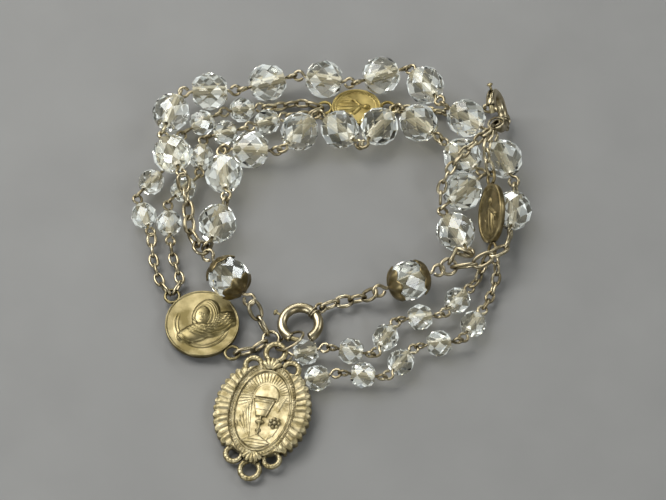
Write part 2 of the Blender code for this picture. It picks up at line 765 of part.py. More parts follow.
def outer_strand():
    curves = pins_of(by_name["outer"], 20)
    curves += heavy_chain([(-29.0, -0.6, 6.4), (-29.4, 4.6, 7.2), (-30.2, 9.4, 7.8), hold("outer", 0)],
                          first=LEFT_RING, count=5)
    curves += heavy_chain([(28.0, -6.4, 4.6), (32.0, -4.8, 6.0), (35.2, -2.4, 5.4), hold("outer", -1)],
                          first=RIGHT_RING)
    fused_wire("outer_strand_wire", curves, RIGHT_RING.centre)


def inner_strand():
    curves = pins_of(by_name["inner"], 70)
    curves += heavy_chain([hold("inner", 0)], first=LEFT_RING, count=1)
    curves += heavy_chain([(24.6, -2.4, 4.0), hold("inner", -1)], first=RIGHT_RING, count=2)
    fused_wire("inner_strand_wire", curves, RIGHT_RING.centre)


def side_strands():
    curves = pins_of(by_name["side_outer"], 20)
    curves += fine_chain([hold("side_outer", 0), (-37.0, -1.0, 1.4), (-36.0, -6.0, 1.3), (-34.6, -9.4, 1.4)],
                         last=ROUND_LEFT)
    curves += fine_chain([hold("side_outer", -1), (-12.0, 33.9, 1.3), (-6.6, 35.0, 1.2)], last=GOLD_LEFT)
    fused_wire("side_outer_wire", curves, ROUND_LEFT.centre)
    curves = pins_of(by_name["side_inner"], 20)
    curves += fine_chain([hold("side_inner", 0), (-32.6, -3.0, 1.3), (-31.0, -8.2, 1.4)], last=ROUND_LEFT)
    curves += fine_chain([hold("side_inner", -1), (-5.6, 32.0, 1.2)], last=GOLD_LEFT)
    fused_wire("side_inner_wire", curves, ROUND_LEFT.centre)


def front_strands():
    curves = pins_of(by_name["front_upper"], 0)
    curves += fine_chain([hold("front_upper", -1), (29.6, -7.4, 1.3), (30.8, -3.8, 1.0)], last=SIDE_BOTTOM)
    fused_wire("front_upper_wire", curves, hold("front_upper", 0))
    curves = pins_of(by_name["front_lower"], 0)
    curves += fine_chain([hold("front_lower", -1), (32.4, -10.4, 1.3), (33.4, -6.4, 3.0)], last=SIDE_BOTTOM)
    fused_wire("front_lower_wire", curves, hold("front_lower", 0))


def left_capped():
    """The left capped bead's wire, its caps, its tail and the rings on the tail."""
    curves = pins_of(by_name["left_capped"], 20)
    curves += [hoop_curve(LEFT_RING), hoop_curve(TAIL_RING), hoop_curve(JUMP_RING, 12)]
    curves += heavy_chain([hold("left_capped", -1), (-14.8, -17.6, 2.4)],
                          last=TAIL_RING, last_loose=False, count=2)
    curves += heavy_chain([(-17.2, -24.6, 1.3)],
                          first=TAIL_RING, last=ROUND_RIGHT, first_loose=False, count=2)
    body = fused_wire("left_capped_wire", curves, LEFT_RING.centre)
    add_caps(body, by_name["left_capped"])


def right_capped():
    """The right capped bead's wire, its caps, its ring and the chain to the front clasp."""
    curves = pins_of(by_name["right_capped"], 20)
    curves.append(hoop_curve(RIGHT_RING))
    curves += heavy_chain([hold("right_capped", 0), (5.6, -12.4, 1.9), (1.6, -13.0, 1.6)],
                          last=FRONT_EYE, count=4)
    body = fused_wire("right_capped_wire", curves, RIGHT_RING.centre)
    add_caps(body, by_name["right_capped"])


def rear_chains():
    """The chain from the gold medal to the rear clasp, and the two that hang from it: one ends loose."""
    way = [(13.4, 33.8, 1.1), (20.0, 33.0, 1.2), (27.0, 32.6, 1.3), (31.6, 33.6, 1.4), (34.9, 33.0, 1.4)]
    curves = fine_chain(way, first=GOLD_RIGHT, last=REAR_EYE)
    fused_wire("rear_chain", curves, GOLD_RIGHT.centre)

    curves = [hoop_curve(DROP_RING, 12)]
    curves += fine_chain([(32.6, 23.0, 9.2), (31.4, 18.0, 9.2)],
                         first=DROP_RING, last=SIDE_TOP, first_loose=False)
    loose_end = [
        (32.2, 23.2, 9.4), (29.0, 19.8, 9.6), (26.0, 16.8, 9.2),
        (23.8, 14.0, 8.4), (22.2, 11.0, 6.2), (22.0, 8.6, 4.4),
    ]
    curves += fine_chain(loose_end, first=DROP_RING, first_loose=False)
    fused_wire("side_chains", curves, DROP_RING.centre)


for strand in STRANDS:
    make_beads(strand)
outer_strand()
inner_strand()
side_strands()
front_strands()
left_capped()
right_capped()
rear_chains()
round_medal()
gold_medal()
side_medal()
pendant_medal()
clasp("front_clasp", FRONT_CLASP, Matrix.Identity(3), FRONT_COLLAR, FRONT_KNOB)
clasp("rear_clasp", REAR_CLASP, REAR_TURN, REAR_COLLAR, REAR_KNOB)


def stand_on_origin():
    """Puts the middle of the whole rosary's box over the origin and its lowest point on z = 0."""
    bpy.context.view_layer.update()
    depsgraph = bpy.context.evaluated_depsgraph_get()
    low = np.full(3, np.inf)
    high = np.full(3, -np.inf)
    for part in PARTS.objects:
        if part.type != "MESH":
            continue
        shape = part.evaluated_get(depsgraph)
        mesh = shape.to_mesh()
        where = np.array([tuple(part.matrix_world @ corner.co) for corner in mesh.vertices])
        low = np.minimum(low, where.min(axis=0))
        high = np.maximum(high, where.max(axis=0))
        shape.to_mesh_clear()
    middle = (low + high) / 2
    FRAME.location = (-middle[0], -middle[1], -low[2])
    bpy.context.view_layer.update()


stand_on_origin()
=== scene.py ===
"""The looks of the cut-glass rosary: crystal beads, wire links, relief medals, clasps, table and light.

Lengths are millimetres in the part's own layout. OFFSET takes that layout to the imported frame, and MM
turns millimetres into metres where a mesh is made.
"""

import json
import math
from collections import namedtuple

import bmesh
import bpy
import numpy as np
from mathutils import Matrix, Vector


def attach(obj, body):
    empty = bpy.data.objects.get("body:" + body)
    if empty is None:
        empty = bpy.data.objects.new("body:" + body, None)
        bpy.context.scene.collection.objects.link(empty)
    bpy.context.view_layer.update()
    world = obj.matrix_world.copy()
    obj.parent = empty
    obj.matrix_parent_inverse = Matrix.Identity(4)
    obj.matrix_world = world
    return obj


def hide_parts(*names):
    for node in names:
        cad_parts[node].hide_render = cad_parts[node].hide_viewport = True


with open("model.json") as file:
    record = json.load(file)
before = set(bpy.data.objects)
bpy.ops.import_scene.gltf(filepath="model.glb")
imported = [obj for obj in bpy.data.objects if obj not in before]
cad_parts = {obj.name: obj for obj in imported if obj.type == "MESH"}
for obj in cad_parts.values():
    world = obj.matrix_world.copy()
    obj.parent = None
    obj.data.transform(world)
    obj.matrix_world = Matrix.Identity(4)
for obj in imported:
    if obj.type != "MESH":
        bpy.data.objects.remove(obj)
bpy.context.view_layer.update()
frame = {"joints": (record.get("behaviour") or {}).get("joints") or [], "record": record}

MM = 0.001
UP = Vector((0.0, 0.0, 1.0))
JOINTS = {joint["name"]: joint for joint in frame["joints"]}
BODY_OF = {node: body for body, nodes in frame["record"]["behaviour"]["bodies"].items() for node in nodes}

FRONT_CLASP = Vector((-6.6, -18.4, 2.1))
OFFSET = Vector(JOINTS["front_clasp_bolt_slide"]["pos_m"]) / MM - FRONT_CLASP

Bead = namedtuple("Bead", "radius half_length bore half_pin wire eye cuts")
LARGE = Bead(4.05, 3.6, 0.85, 6.15, 0.33, 0.98, 8)
SMALL = Bead(2.72, 2.35, 0.62, 4.65, 0.29, 0.92, 7)
CAPPED = Bead(4.15, 3.7, 0.85, 7.3, 0.36, 1.1, 8)
HEAVY = (3.4, 1.15, 0.38)
FINE = (2.2, 0.8, 0.31)
BITE = 0.1
PLAY = 0.3


# ---- materials ----
def nodes_of(name):
    made = bpy.data.materials.new(name)
    made.use_nodes = True
    tree = made.node_tree
    tree.nodes.clear()
    output = tree.nodes.new("ShaderNodeOutputMaterial")
    return made, tree, output


def add(tree, kind, **settings):
    node = tree.nodes.new("ShaderNode" + kind)
    for key, value in settings.items():
        setattr(node, key, value)
    return node


def set_ramp(ramp, stops):
    elements = ramp.color_ramp.elements
    while len(elements) < len(stops):
        elements.new(0.5)
    for element, (position, colour) in zip(elements, stops):
        element.position = position
        element.color = (*colour, 1.0)


def crystal(name, tint, roughness, painted_glow=0.0):
    """Clear glass; any emission strength given paints a glint into it, light from glass that is no lamp.
    Shadow and diffuse rays pass through, so its shadow is pale.
    """
    made, tree, output = nodes_of(name)
    glass = add(tree, "BsdfPrincipled")
    glass.inputs["Base Color"].default_value = (*tint, 1.0)
    glass.inputs["Roughness"].default_value = roughness
    glass.inputs["IOR"].default_value = 1.52
    glass.inputs["Transmission Weight"].default_value = 1.0
    # Emission here paints a glint of light into the glass.
    glass.inputs["Emission Color"].default_value = (0.90, 0.97, 0.96, 1.0)
    glass.inputs["Emission Strength"].default_value = painted_glow
    clear = add(tree, "BsdfTransparent")
    clear.inputs["Color"].default_value = (0.80, 0.79, 0.74, 1.0)
    path = add(tree, "LightPath")
    either = add(tree, "Math", operation="MAXIMUM")
    tree.links.new(path.outputs["Is Shadow Ray"], either.inputs[0])
    tree.links.new(path.outputs["Is Diffuse Ray"], either.inputs[1])
    mix = add(tree, "MixShader")
    tree.links.new(either.outputs[0], mix.inputs[0])
    tree.links.new(glass.outputs[0], mix.inputs[1])
    tree.links.new(clear.outputs[0], mix.inputs[2])
    tree.links.new(mix.outputs[0], output.inputs["Surface"])
    return made


def frosted(name, colour):
    """The ground wall of a drilled hole: pale, matt and half clear."""
    made, tree, output = nodes_of(name)
    shader = add(tree, "BsdfPrincipled")
    noise = add(tree, "TexNoise")
    noise.inputs["Scale"].default_value = 1500.0
    ramp = add(tree, "ValToRGB")
    set_ramp(ramp, [(0.3, [c * 0.8 for c in colour]), (0.75, colour)])
    coordinates = add(tree, "TexCoord")
    tree.links.new(coordinates.outputs["Object"], noise.inputs["Vector"])
    tree.links.new(noise.outputs[0], ramp.inputs[0])
    tree.links.new(ramp.outputs[0], shader.inputs["Base Color"])
    shader.inputs["Roughness"].default_value = 0.55
    shader.inputs["Transmission Weight"].default_value = 0.6
    tree.links.new(shader.outputs[0], output.inputs["Surface"])
    return made


def worn_metal_with_painted_shade(name, bright, dull, painted_recess_shade, roughness, scale, scratch=0.02):
    """Plated metal: bright where it is rubbed, dull in patches, with painted shade darkening its recesses,
    and fine scratches.
    """
    made, tree, output = nodes_of(name)
    shader = add(tree, "BsdfPrincipled")
    shader.inputs["Metallic"].default_value = 1.0
    coordinates = add(tree, "TexCoord")
    patches = add(tree, "TexNoise")
    patches.inputs["Scale"].default_value = scale
    patches.inputs["Detail"].default_value = 5.0
    tree.links.new(coordinates.outputs["Object"], patches.inputs["Vector"])
    plating = add(tree, "ValToRGB")
    set_ramp(plating, [(0.38, dull), (0.62, bright)])
    tree.links.new(patches.outputs[0], plating.inputs[0])
    # Ambient occlusion paints shade into the recesses: the recess colour is laid where the surface is hemmed
    # in.
    painted_shade_occlusion = add(tree, "AmbientOcclusion", samples=6)
    painted_shade_occlusion.inputs["Distance"].default_value = 0.0008
    painted_shade_ramp = add(tree, "ValToRGB")
    set_ramp(painted_shade_ramp, [(0.35, (0, 0, 0)), (0.85, (1, 1, 1))])
    tree.links.new(painted_shade_occlusion.outputs["AO"], painted_shade_ramp.inputs[0])
    mix = add(tree, "Mix", data_type="RGBA")
    tree.links.new(painted_shade_ramp.outputs[0], mix.inputs[0])
    mix.inputs[6].default_value = (*painted_recess_shade, 1.0)
    tree.links.new(plating.outputs[0], mix.inputs[7])
    tree.links.new(mix.outputs[2], shader.inputs["Base Color"])
    rough = add(tree, "MapRange")
    rough.inputs["To Min"].default_value = roughness + 0.14
    rough.inputs["To Max"].default_value = roughness
    tree.links.new(patches.outputs[0], rough.inputs["Value"])
    tree.links.new(rough.outputs[0], shader.inputs["Roughness"])
    grain = add(tree, "TexNoise")
    grain.inputs["Scale"].default_value = 2600.0
    grain.inputs["Detail"].default_value = 3.0
    tree.links.new(coordinates.outputs["Object"], grain.inputs["Vector"])
    bump = add(tree, "Bump")
    bump.inputs["Strength"].default_value = 0.35
    bump.inputs["Distance"].default_value = scratch * MM
    tree.links.new(grain.outputs[0], bump.inputs["Height"])
    tree.links.new(bump.outputs[0], shader.inputs["Normal"])
    tree.links.new(shader.outputs[0], output.inputs["Surface"])
    return made


GLASS = crystal("cut_glass", (0.99, 0.965, 0.86), 0.02)
# This glass emits light as a painted glint, standing in for lamp light bent by the facets.
PAINTED_GLINT_GLASS = crystal("cut_glass_lit", (1.0, 0.985, 0.91), 0.03, 0.26)
# This darkened glass is a painted dark reflection of the dim room, not a darker glass.
PAINTED_DARK_REFLECTION_GLASS = crystal("cut_glass_dark", (0.50, 0.50, 0.44), 0.02)
BORE = frosted("ground_bore", (0.68, 0.61, 0.44))
BEAD_MATERIALS_WITH_PAINTED_SHARDS = (GLASS, PAINTED_GLINT_GLASS, PAINTED_DARK_REFLECTION_GLASS, BORE)
# Which look each facet gets: 0 clear glass, 1 a painted glint, 2 a painted dark reflection.
PAINTED_SHARD_PATTERN = (0, 1, 0, 2, 1, 0, 2)
# The fifth colour given to each metal is painted shade, laid darkest in its recesses.
GILT = worn_metal_with_painted_shade("worn_gilt", (0.55, 0.475, 0.32), (0.25, 0.205, 0.12), (0.035, 0.025, 0.01), 0.25, 420)
PALE = worn_metal_with_painted_shade("pale_gilt", (0.53, 0.455, 0.28), (0.27, 0.22, 0.11), (0.03, 0.02, 0.008), 0.38, 620, 0.05)
GOLD = worn_metal_with_painted_shade("yellow_gilt", (0.42, 0.33, 0.13), (0.26, 0.195, 0.065), (0.05, 0.035, 0.01), 0.38, 300)
OLIVE = worn_metal_with_painted_shade("olive_gilt", (0.40, 0.335, 0.18), (0.15, 0.12, 0.05), (0.03, 0.022, 0.009), 0.33, 230,
                   0.03)
BROWN = worn_metal_with_painted_shade("brown_gilt", (0.31, 0.245, 0.125), (0.13, 0.10, 0.045), (0.03, 0.02, 0.008), 0.36, 420)


# ---- mesh building ----
def build(name, shapes, material, node):
    """One piece from several closed shapes, riding on the body that holds a CAD node and standing for it."""
    corners = []
    faces = []
    for shape_corners, shape_faces in shapes:
        base = len(corners)
        corners += [tuple((Vector(c) + OFFSET) * MM) for c in shape_corners]
        faces += [tuple(base + k for k in face) for face in shape_faces]
    mesh = bpy.data.meshes.new(name)
    mesh.from_pydata(corners, [], faces)
    mesh.materials.append(material)
    mesh.polygons.foreach_set("use_smooth", [True] * len(mesh.polygons))
    mesh.update()
    piece = bpy.data.objects.new(name, mesh)
    bpy.context.scene.collection.objects.link(piece)
    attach(piece, BODY_OF[node])
    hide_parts(node)
    return piece


def moved(shape, matrix, place):
    corners, faces = shape
    return [matrix @ Vector(c) + place for c in corners], faces


def tube(points, radius, closed=False, sides=8, pattern=None):
    """A round wire along points. pattern(step, side) scales its radius."""
    path = np.array([tuple(p) for p in points], float)
    count = len(path)
    if closed:
        tangent = np.roll(path, -1, 0) - np.roll(path, 1, 0)
    else:
        tangent = np.gradient(path, axis=0)
    tangent /= np.linalg.norm(tangent, axis=1)[:, None]
    start = np.cross(tangent[0], (0.31, 0.52, 0.79))
    normals = [start / np.linalg.norm(start)]
    for k in range(1, count):
        carried = normals[-1] - tangent[k] * normals[-1].dot(tangent[k])
        normals.append(carried / np.linalg.norm(carried))
    twist = 0.0
    if closed:
        carried = normals[-1] - tangent[0] * normals[-1].dot(tangent[0])
        carried /= np.linalg.norm(carried)
        twist = math.atan2(np.cross(carried, normals[0]).dot(tangent[0]), carried.dot(normals[0]))
    corners = []
    for k in range(count):
        side = np.cross(tangent[k], normals[k])
        for s in range(sides):
            angle = math.tau * s / sides + twist * k / count
            size = radius * (pattern(k / count, s / sides) if pattern else 1.0)
            corners.append(path[k] + size * (math.cos(angle) * normals[k] + math.sin(angle) * side))
    faces = []
    for k in range(count if closed else count - 1):
        after = (k + 1) % count
        for s in range(sides):
            beside = (s + 1) % sides
            faces.append((k * sides + s, k * sides + beside, after * sides + beside, after * sides + s))
    if not closed:
        faces.append(tuple(reversed(range(sides))))
        faces.append(tuple((count - 1) * sides + s for s in range(sides)))
    return corners, faces


def circle_points(centre, radius, normal, count=28):
    across = normal.orthogonal().normalized()
    other = normal.cross(across).normalized()
    angles = [math.tau * k / count for k in range(count)]
    return [centre + radius * (math.cos(a) * across + math.sin(a) * other) for a in angles]


# ---- beads ----
def cut_bead_mesh(bead):
    """A cut bead along Z: a belt of diamonds, two belts of kites each side, flat ends and a drilled hole."""
    n = bead.cuts
    half = math.pi / n
    belt_radius = bead.radius * math.cos(half)
    belt_height = math.sqrt(bead.radius ** 2 - belt_radius ** 2)
    slope = (bead.radius - belt_radius * math.cos(half)) / belt_height
    kite_height = belt_height + 0.58 * (bead.half_length - belt_height)
    kite_radius = bead.radius - slope * kite_height
    face_radius = math.sqrt(bead.radius ** 2 - bead.half_length ** 2) * 1.08
    tall = bead.half_length
    rows = [
        (face_radius, tall, 0.0), (kite_radius, kite_height, 0.5), (belt_radius, belt_height, 0.0),
        (bead.radius, 0.0, 0.5), (belt_radius, -belt_height, 0.0), (kite_radius, -kite_height, 0.5),
        (face_radius, -tall, 0.0), (bead.bore, -tall, 0.0), (bead.bore, tall, 0.0),
    ]
    corners = []
    for radius, height, shift in rows:
        for k in range(n):
            angle = math.tau * (k + shift) / n
            corners.append((radius * MM * math.cos(angle), radius * MM * math.sin(angle), height * MM))
    end, kite, belt, middle, low_belt, low_kite, low_end, low_bore, bore = [r * n for r in range(9)]
    faces = []
    for k in range(n):
        after = (k + 1) % n
        before = (k - 1) % n
        faces.append((belt + k, middle + before, low_belt + k, middle + k))
        faces.append((belt + k, middle + k, belt + after, kite + k))
        faces.append((end + k, kite + before, belt + k, kite + k))
        faces.append((end + k, kite + k, end + after))
        faces.append((low_belt + k, low_kite + k, low_belt + after, middle + k))
        faces.append((low_end + k, low_kite + k, low_belt + k, low_kite + before))
        faces.append((low_end + k, low_end + after, low_kite + k))
        faces.append((end + k, end + after, bore + after, bore + k))
        faces.append((low_end + after, low_end + k, low_bore + k, low_bore + after))
        faces.append((bore + k, bore + after, low_bore + after, low_bore + k))
    mesh = bpy.data.meshes.new("cut_bead")
    mesh.from_pydata(corners, [], faces)
    work = bmesh.new()
    work.from_mesh(mesh)
    bmesh.ops.recalc_face_normals(work, faces=work.faces)
    work.to_mesh(mesh)
    work.free()
    for bead_shader in BEAD_MATERIALS_WITH_PAINTED_SHARDS:
        mesh.materials.append(bead_shader)
    # Facets get clear glass, a painted glint or a painted dark reflection in turn; the drilled hole gets the
    # ground bore.
    kinds = []
    for k in range(n):
        facets = [PAINTED_SHARD_PATTERN[(3 * k + 5 * row) % len(PAINTED_SHARD_PATTERN)] for row in range(7)]
        kinds += [*facets, 0, 0, BEAD_MATERIALS_WITH_PAINTED_SHARDS.index(BORE)]
    mesh.polygons.foreach_set("material_index", kinds)
    return mesh


def bead_kind(node):
    if node.endswith("capped"):
        return CAPPED
    return LARGE if node.startswith(("bead_outer", "bead_inner")) else SMALL


def make_beads():
    meshes = {kind: cut_bead_mesh(kind) for kind in (LARGE, SMALL, CAPPED)}
    number = 0
    for joint in frame["joints"]:
        node = joint["child"]
        if not node.startswith("bead_"):
            continue
        number += 1
        along = Vector(joint["axis"])
        piece = bpy.data.objects.new("crystal_" + node[5:], meshes[bead_kind(node)])
        bpy.context.scene.collection.objects.link(piece)
        spin = Matrix.Rotation(number * 2.39996, 4, "Z")
        turn = along.to_track_quat("Z", "Y").to_matrix().to_4x4()
        piece.matrix_world = Matrix.Translation(Vector(joint["pos_m"])) @ turn @ spin
        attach(piece, BODY_OF[node])
        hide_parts(node)


# ---- where the wires run ----
def pin_lines(strand):
    """Each bead's centre and direction along a strand, in layout millimetres."""
    found = []
    for name, joint in sorted(JOINTS.items()):
        if name.startswith("bead_" + strand) and name.endswith("_spin"):
            found.append((Vector(joint["pos_m"]) / MM - OFFSET, Vector(joint["axis"]).normalized()))
    return found


def holds_of(strand, bead):
    """The points where neighbouring pins meet, and the strand's two ends."""
    lines = pin_lines(strand)
    points = [lines[0][0] - lines[0][1] * bead.half_pin]
    for (here, along), (there, onward) in zip(lines, lines[1:]):
        points.append((here + along * bead.half_pin + there - onward * bead.half_pin) / 2)
    points.append(lines[-1][0] + lines[-1][1] * bead.half_pin)
    return points


def level_across(along):
    level = UP.cross(along)
    if level.length < 0.05:
        level = Vector((1.0, 0.0, 0.0)).cross(along)
    return level.normalized()


def side_frame(along, roll):
    return Matrix.Rotation(math.radians(roll), 3, along) @ level_across(along)


def roll_towards(along, across):
    level = level_across(along)
    return math.degrees(math.atan2(across.dot(along.cross(level)), across.dot(level)))


def link_points(start, end, roll, width, before, after, count=22):
    along = (end - start).normalized()
    across = side_frame(along, roll)
    first = start - along * before
    last = end + along * after
    middle = (first + last) / 2
    half = (last - first).length / 2
    points = []
    for k in range(count):
        angle = math.tau * k / count
        c, s = math.cos(angle), math.sin(angle)
        reach = math.copysign(abs(c) ** 0.86, c)
        girth = math.copysign(abs(s) ** 0.86, s)
        points.append(middle + reach * half * along + girth * width * across)
    return points


def pin_points(start, end, roll, bead):
    """An eye pin: a straight shank whose two ends are bent round into loops."""
    along = (end - start).normalized()
    across = side_frame(along, roll)
    hold = bead.wire - BITE
    halves = []
    for tip, inward in ((start, along), (end, -along)):
        centre = tip + inward * (bead.eye - hold)
        around = []
        for k in range(19):
            angle = math.radians(22 + 318 * k / 18)
            around.append(centre + bead.eye * (math.cos(angle) * inward + math.sin(angle) * across))
        neck = centre + inward * (bead.eye + 0.45)
        halves.append([neck + inward * 0.6, neck, *around])
    return [*reversed(halves[0]), *halves[1]]


def smooth_path(points, samples=24):
    first = points[0] + (points[0] - points[1])
    last = points[-1] + (points[-1] - points[-2])
    knots = [first, *points, last]
    path = []
    for a, b, c, d in zip(knots, knots[1:], knots[2:], knots[3:]):
        for k in range(samples):
            t = k / samples
            path.append(0.5 * (2 * b + (c - a) * t + (2 * a - 5 * b + 4 * c - d) * t * t
                               + (3 * b - a - 3 * c + d) * t ** 3))
    path.append(points[-1])
    return path


def even_steps(points, count):
    path = smooth_path([Vector(p) for p in points])
    travelled = [0.0]
    for a, b in zip(path, path[1:]):
        travelled.append(travelled[-1] + (b - a).length)
    steps = []
    for k in range(count + 1):
        wanted = travelled[-1] * k / count
        index = max(i for i, length in enumerate(travelled) if length <= wanted + 1e-9)
        index = min(index, len(path) - 2)
        share = (wanted - travelled[index]) / (travelled[index + 1] - travelled[index])
        steps.append(path[index].lerp(path[index + 1], share))
    return steps


Hoop = namedtuple("Hoop", "centre normal radius wire")


def hoop_hold(hoop, towards):
    reach = Vector(towards) - hoop.centre
    reach -= hoop.normal * reach.dot(hoop.normal)
    return hoop.centre + hoop.radius * reach.normalized()


def roll_through(hoop, held, along):
    tangent = hoop.normal.cross(held - hoop.centre)
    return roll_towards(along, along.cross(tangent))


def hoop_wire(hoop):
    return tube(circle_points(hoop.centre, hoop.radius, hoop.normal), hoop.wire, True)


def chain(points, style, count=None, first=None, last=None, first_loose=True, last_loose=True):
    """Oval links along a curve, each a quarter turn from the one before; its ends may go round hoops."""
    link, width, wire = style
    points = [Vector(p) for p in points]
    if first:
        points.insert(0, hoop_hold(first, points[0]))
    if last:
        points.append(hoop_hold(last, points[-1]))
    length = sum((b - a).length for a, b in zip(points, points[1:]))
    count = count or max(1, round(length / link))
    holds = even_steps(points, count)
    ways = [(b - a).normalized() for a, b in zip(holds, holds[1:])]
    rolls = [90 * k for k in range(count)]
    if last:
        wanted = roll_through(last, holds[-1], ways[-1])
        rolls = [wanted + 90 * (k - count + 1) for k in range(count)]
    if first:
        wanted = roll_through(first, holds[0], ways[0])
        rest = (wanted - rolls[0] + 90) % 180 - 90
        rolls = [angle + rest * (1 - k / max(1, count - 1)) for k, angle in enumerate(rolls)]
    shapes = []
    for k, (a, b) in enumerate(zip(holds, holds[1:])):
        before = wire - BITE
        after = wire - BITE
        if first and k == 0:
            before = first.wire + wire + (PLAY if first_loose else -2 * BITE)
        if last and k == count - 1:
            after = last.wire + wire + (PLAY if last_loose else -2 * BITE)
        shapes.append(tube(link_points(a, b, rolls[k], width, before, after), wire, True))
    return shapes


def pins(strand, bead, first_roll):
    holds = holds_of(strand, bead)
    shapes = []
    for number, (start, end) in enumerate(zip(holds, holds[1:])):
        shapes.append(tube(pin_points(start, end, first_roll + 90 * number, bead), bead.wire))
    return shapes, holds


# ---- relief ----
def dome(x, y, cx, cy, rx, ry, tilt=0.0):
    """An ellipsoid's height over the plane, 0 outside it and 1 at its top."""
    c, s = math.cos(math.radians(tilt)), math.sin(math.radians(tilt))
    u = ((x - cx) * c + (y - cy) * s) / rx
    v = (-(x - cx) * s + (y - cy) * c) / ry
    return np.sqrt(np.clip(1 - u * u - v * v, 0, None))


def step(value, soft):
    """0 below zero, 1 above, with a soft edge."""
    t = np.clip(value / soft + 0.5, 0, 1)
    return t * t * (3 - 2 * t)


def ridge(distance, width):
    return np.exp(-(distance / width) ** 2)


def stroke(x, y, x0, y0, x1, y1, width):
    """A rounded bar from one point to another."""
    dx, dy = x1 - x0, y1 - y0
    t = np.clip(((x - x0) * dx + (y - y0) * dy) / (dx * dx + dy * dy), 0, 1)
    distance = np.hypot(x - x0 - t * dx, y - y0 - t * dy)
    return np.sqrt(np.clip(1 - (distance / width) ** 2, 0, None))


def relief_plate(outline, height, thickness, rings=70, steps=200, edge=0.18):
    """A solid plate: outline(angle) gives its edge, height(x, y) the relief on its upper face."""
    angles = np.arange(steps) * math.tau / steps
    rim = np.array([outline(a) for a in angles])
    levels = np.linspace(0, 1, rings + 1)[1:]
    corners = [(0.0, 0.0, thickness + float(height(np.zeros(1), np.zeros(1))[0]))]
    for level in levels:
        x, y = rim[:, 0] * level, rim[:, 1] * level
        top = thickness + height(x, y)
        if level == levels[-1]:
            top = np.minimum(top, thickness) - edge
        corners += list(zip(x, y, top))
    base = len(corners)
    corners += [(x, y, edge) for x, y in rim]
    corners += [(x * 0.98, y * 0.98, 0.0) for x, y in rim]
    faces = [(0, 1 + k, 1 + (k + 1) % steps) for k in range(steps)]
    for r in range(rings - 1):
        near, far = 1 + r * steps, 1 + (r + 1) * steps
        faces += [(near + k, far + k, far + (k + 1) % steps, near + (k + 1) % steps) for k in range(steps)]
    last = 1 + (rings - 1) * steps
    for a, b in ((last, base), (base, base + steps)):
        faces += [(a + k, b + k, b + (k + 1) % steps, a + (k + 1) % steps) for k in range(steps)]
    faces.append(tuple(base + steps + k for k in reversed(range(steps))))
    return corners, faces


def oval_outline(half_width, half_height):
    return lambda a: (half_width * math.cos(a), half_height * math.sin(a))


MEDAL_THICK = 1.2
MEDAL_FIELD = 1.0
ROUND_RADIUS = 7.5
GOLD_HALF = (5.2, 4.3)
SIDE_HALF = (6.3, 4.6)
EYELET_WIRE = 0.34
ROUND_EYE, GOLD_EYE, SIDE_EYE = 1.45, 1.4, 1.35
ROUND_PLACE = Vector((-26.4, -18.2, 1.5))
ROUND_BASIS = Matrix.Rotation(math.radians(-46.4), 3, "Z")
GOLD_PLACE = Vector((4.9, 33.9, 1.0))
SIDE_PLACE = Vector((32.45, 5.6, 5.2))
SIDE_TURN = Matrix.Rotation(math.radians(13.0), 3, "X") @ Matrix.Rotation(math.radians(-63.0), 3, "Y")
LEVEL = Matrix.Identity(3)


def medal_hoop(centre, turn, degrees, reach, radius):
    angle = math.radians(degrees)
    along = Vector((math.cos(angle), math.sin(angle), 0.0))
    return Hoop(centre + turn @ (along * (reach + radius)), turn @ UP, radius, EYELET_WIRE)


def fold(x, y, radius, shift, width, start, end):
    """One ridge of cloth along part of a circle that sweeps under the figure and out to the right."""
    away = np.hypot(x - 1.4 - shift, y - 3.4)
    angle = np.degrees(np.arctan2(y - 3.4, x - 1.4 - shift))
    span = step(angle - start, 14) * step(end - angle, 22)
    return ridge(away - radius, width) * span


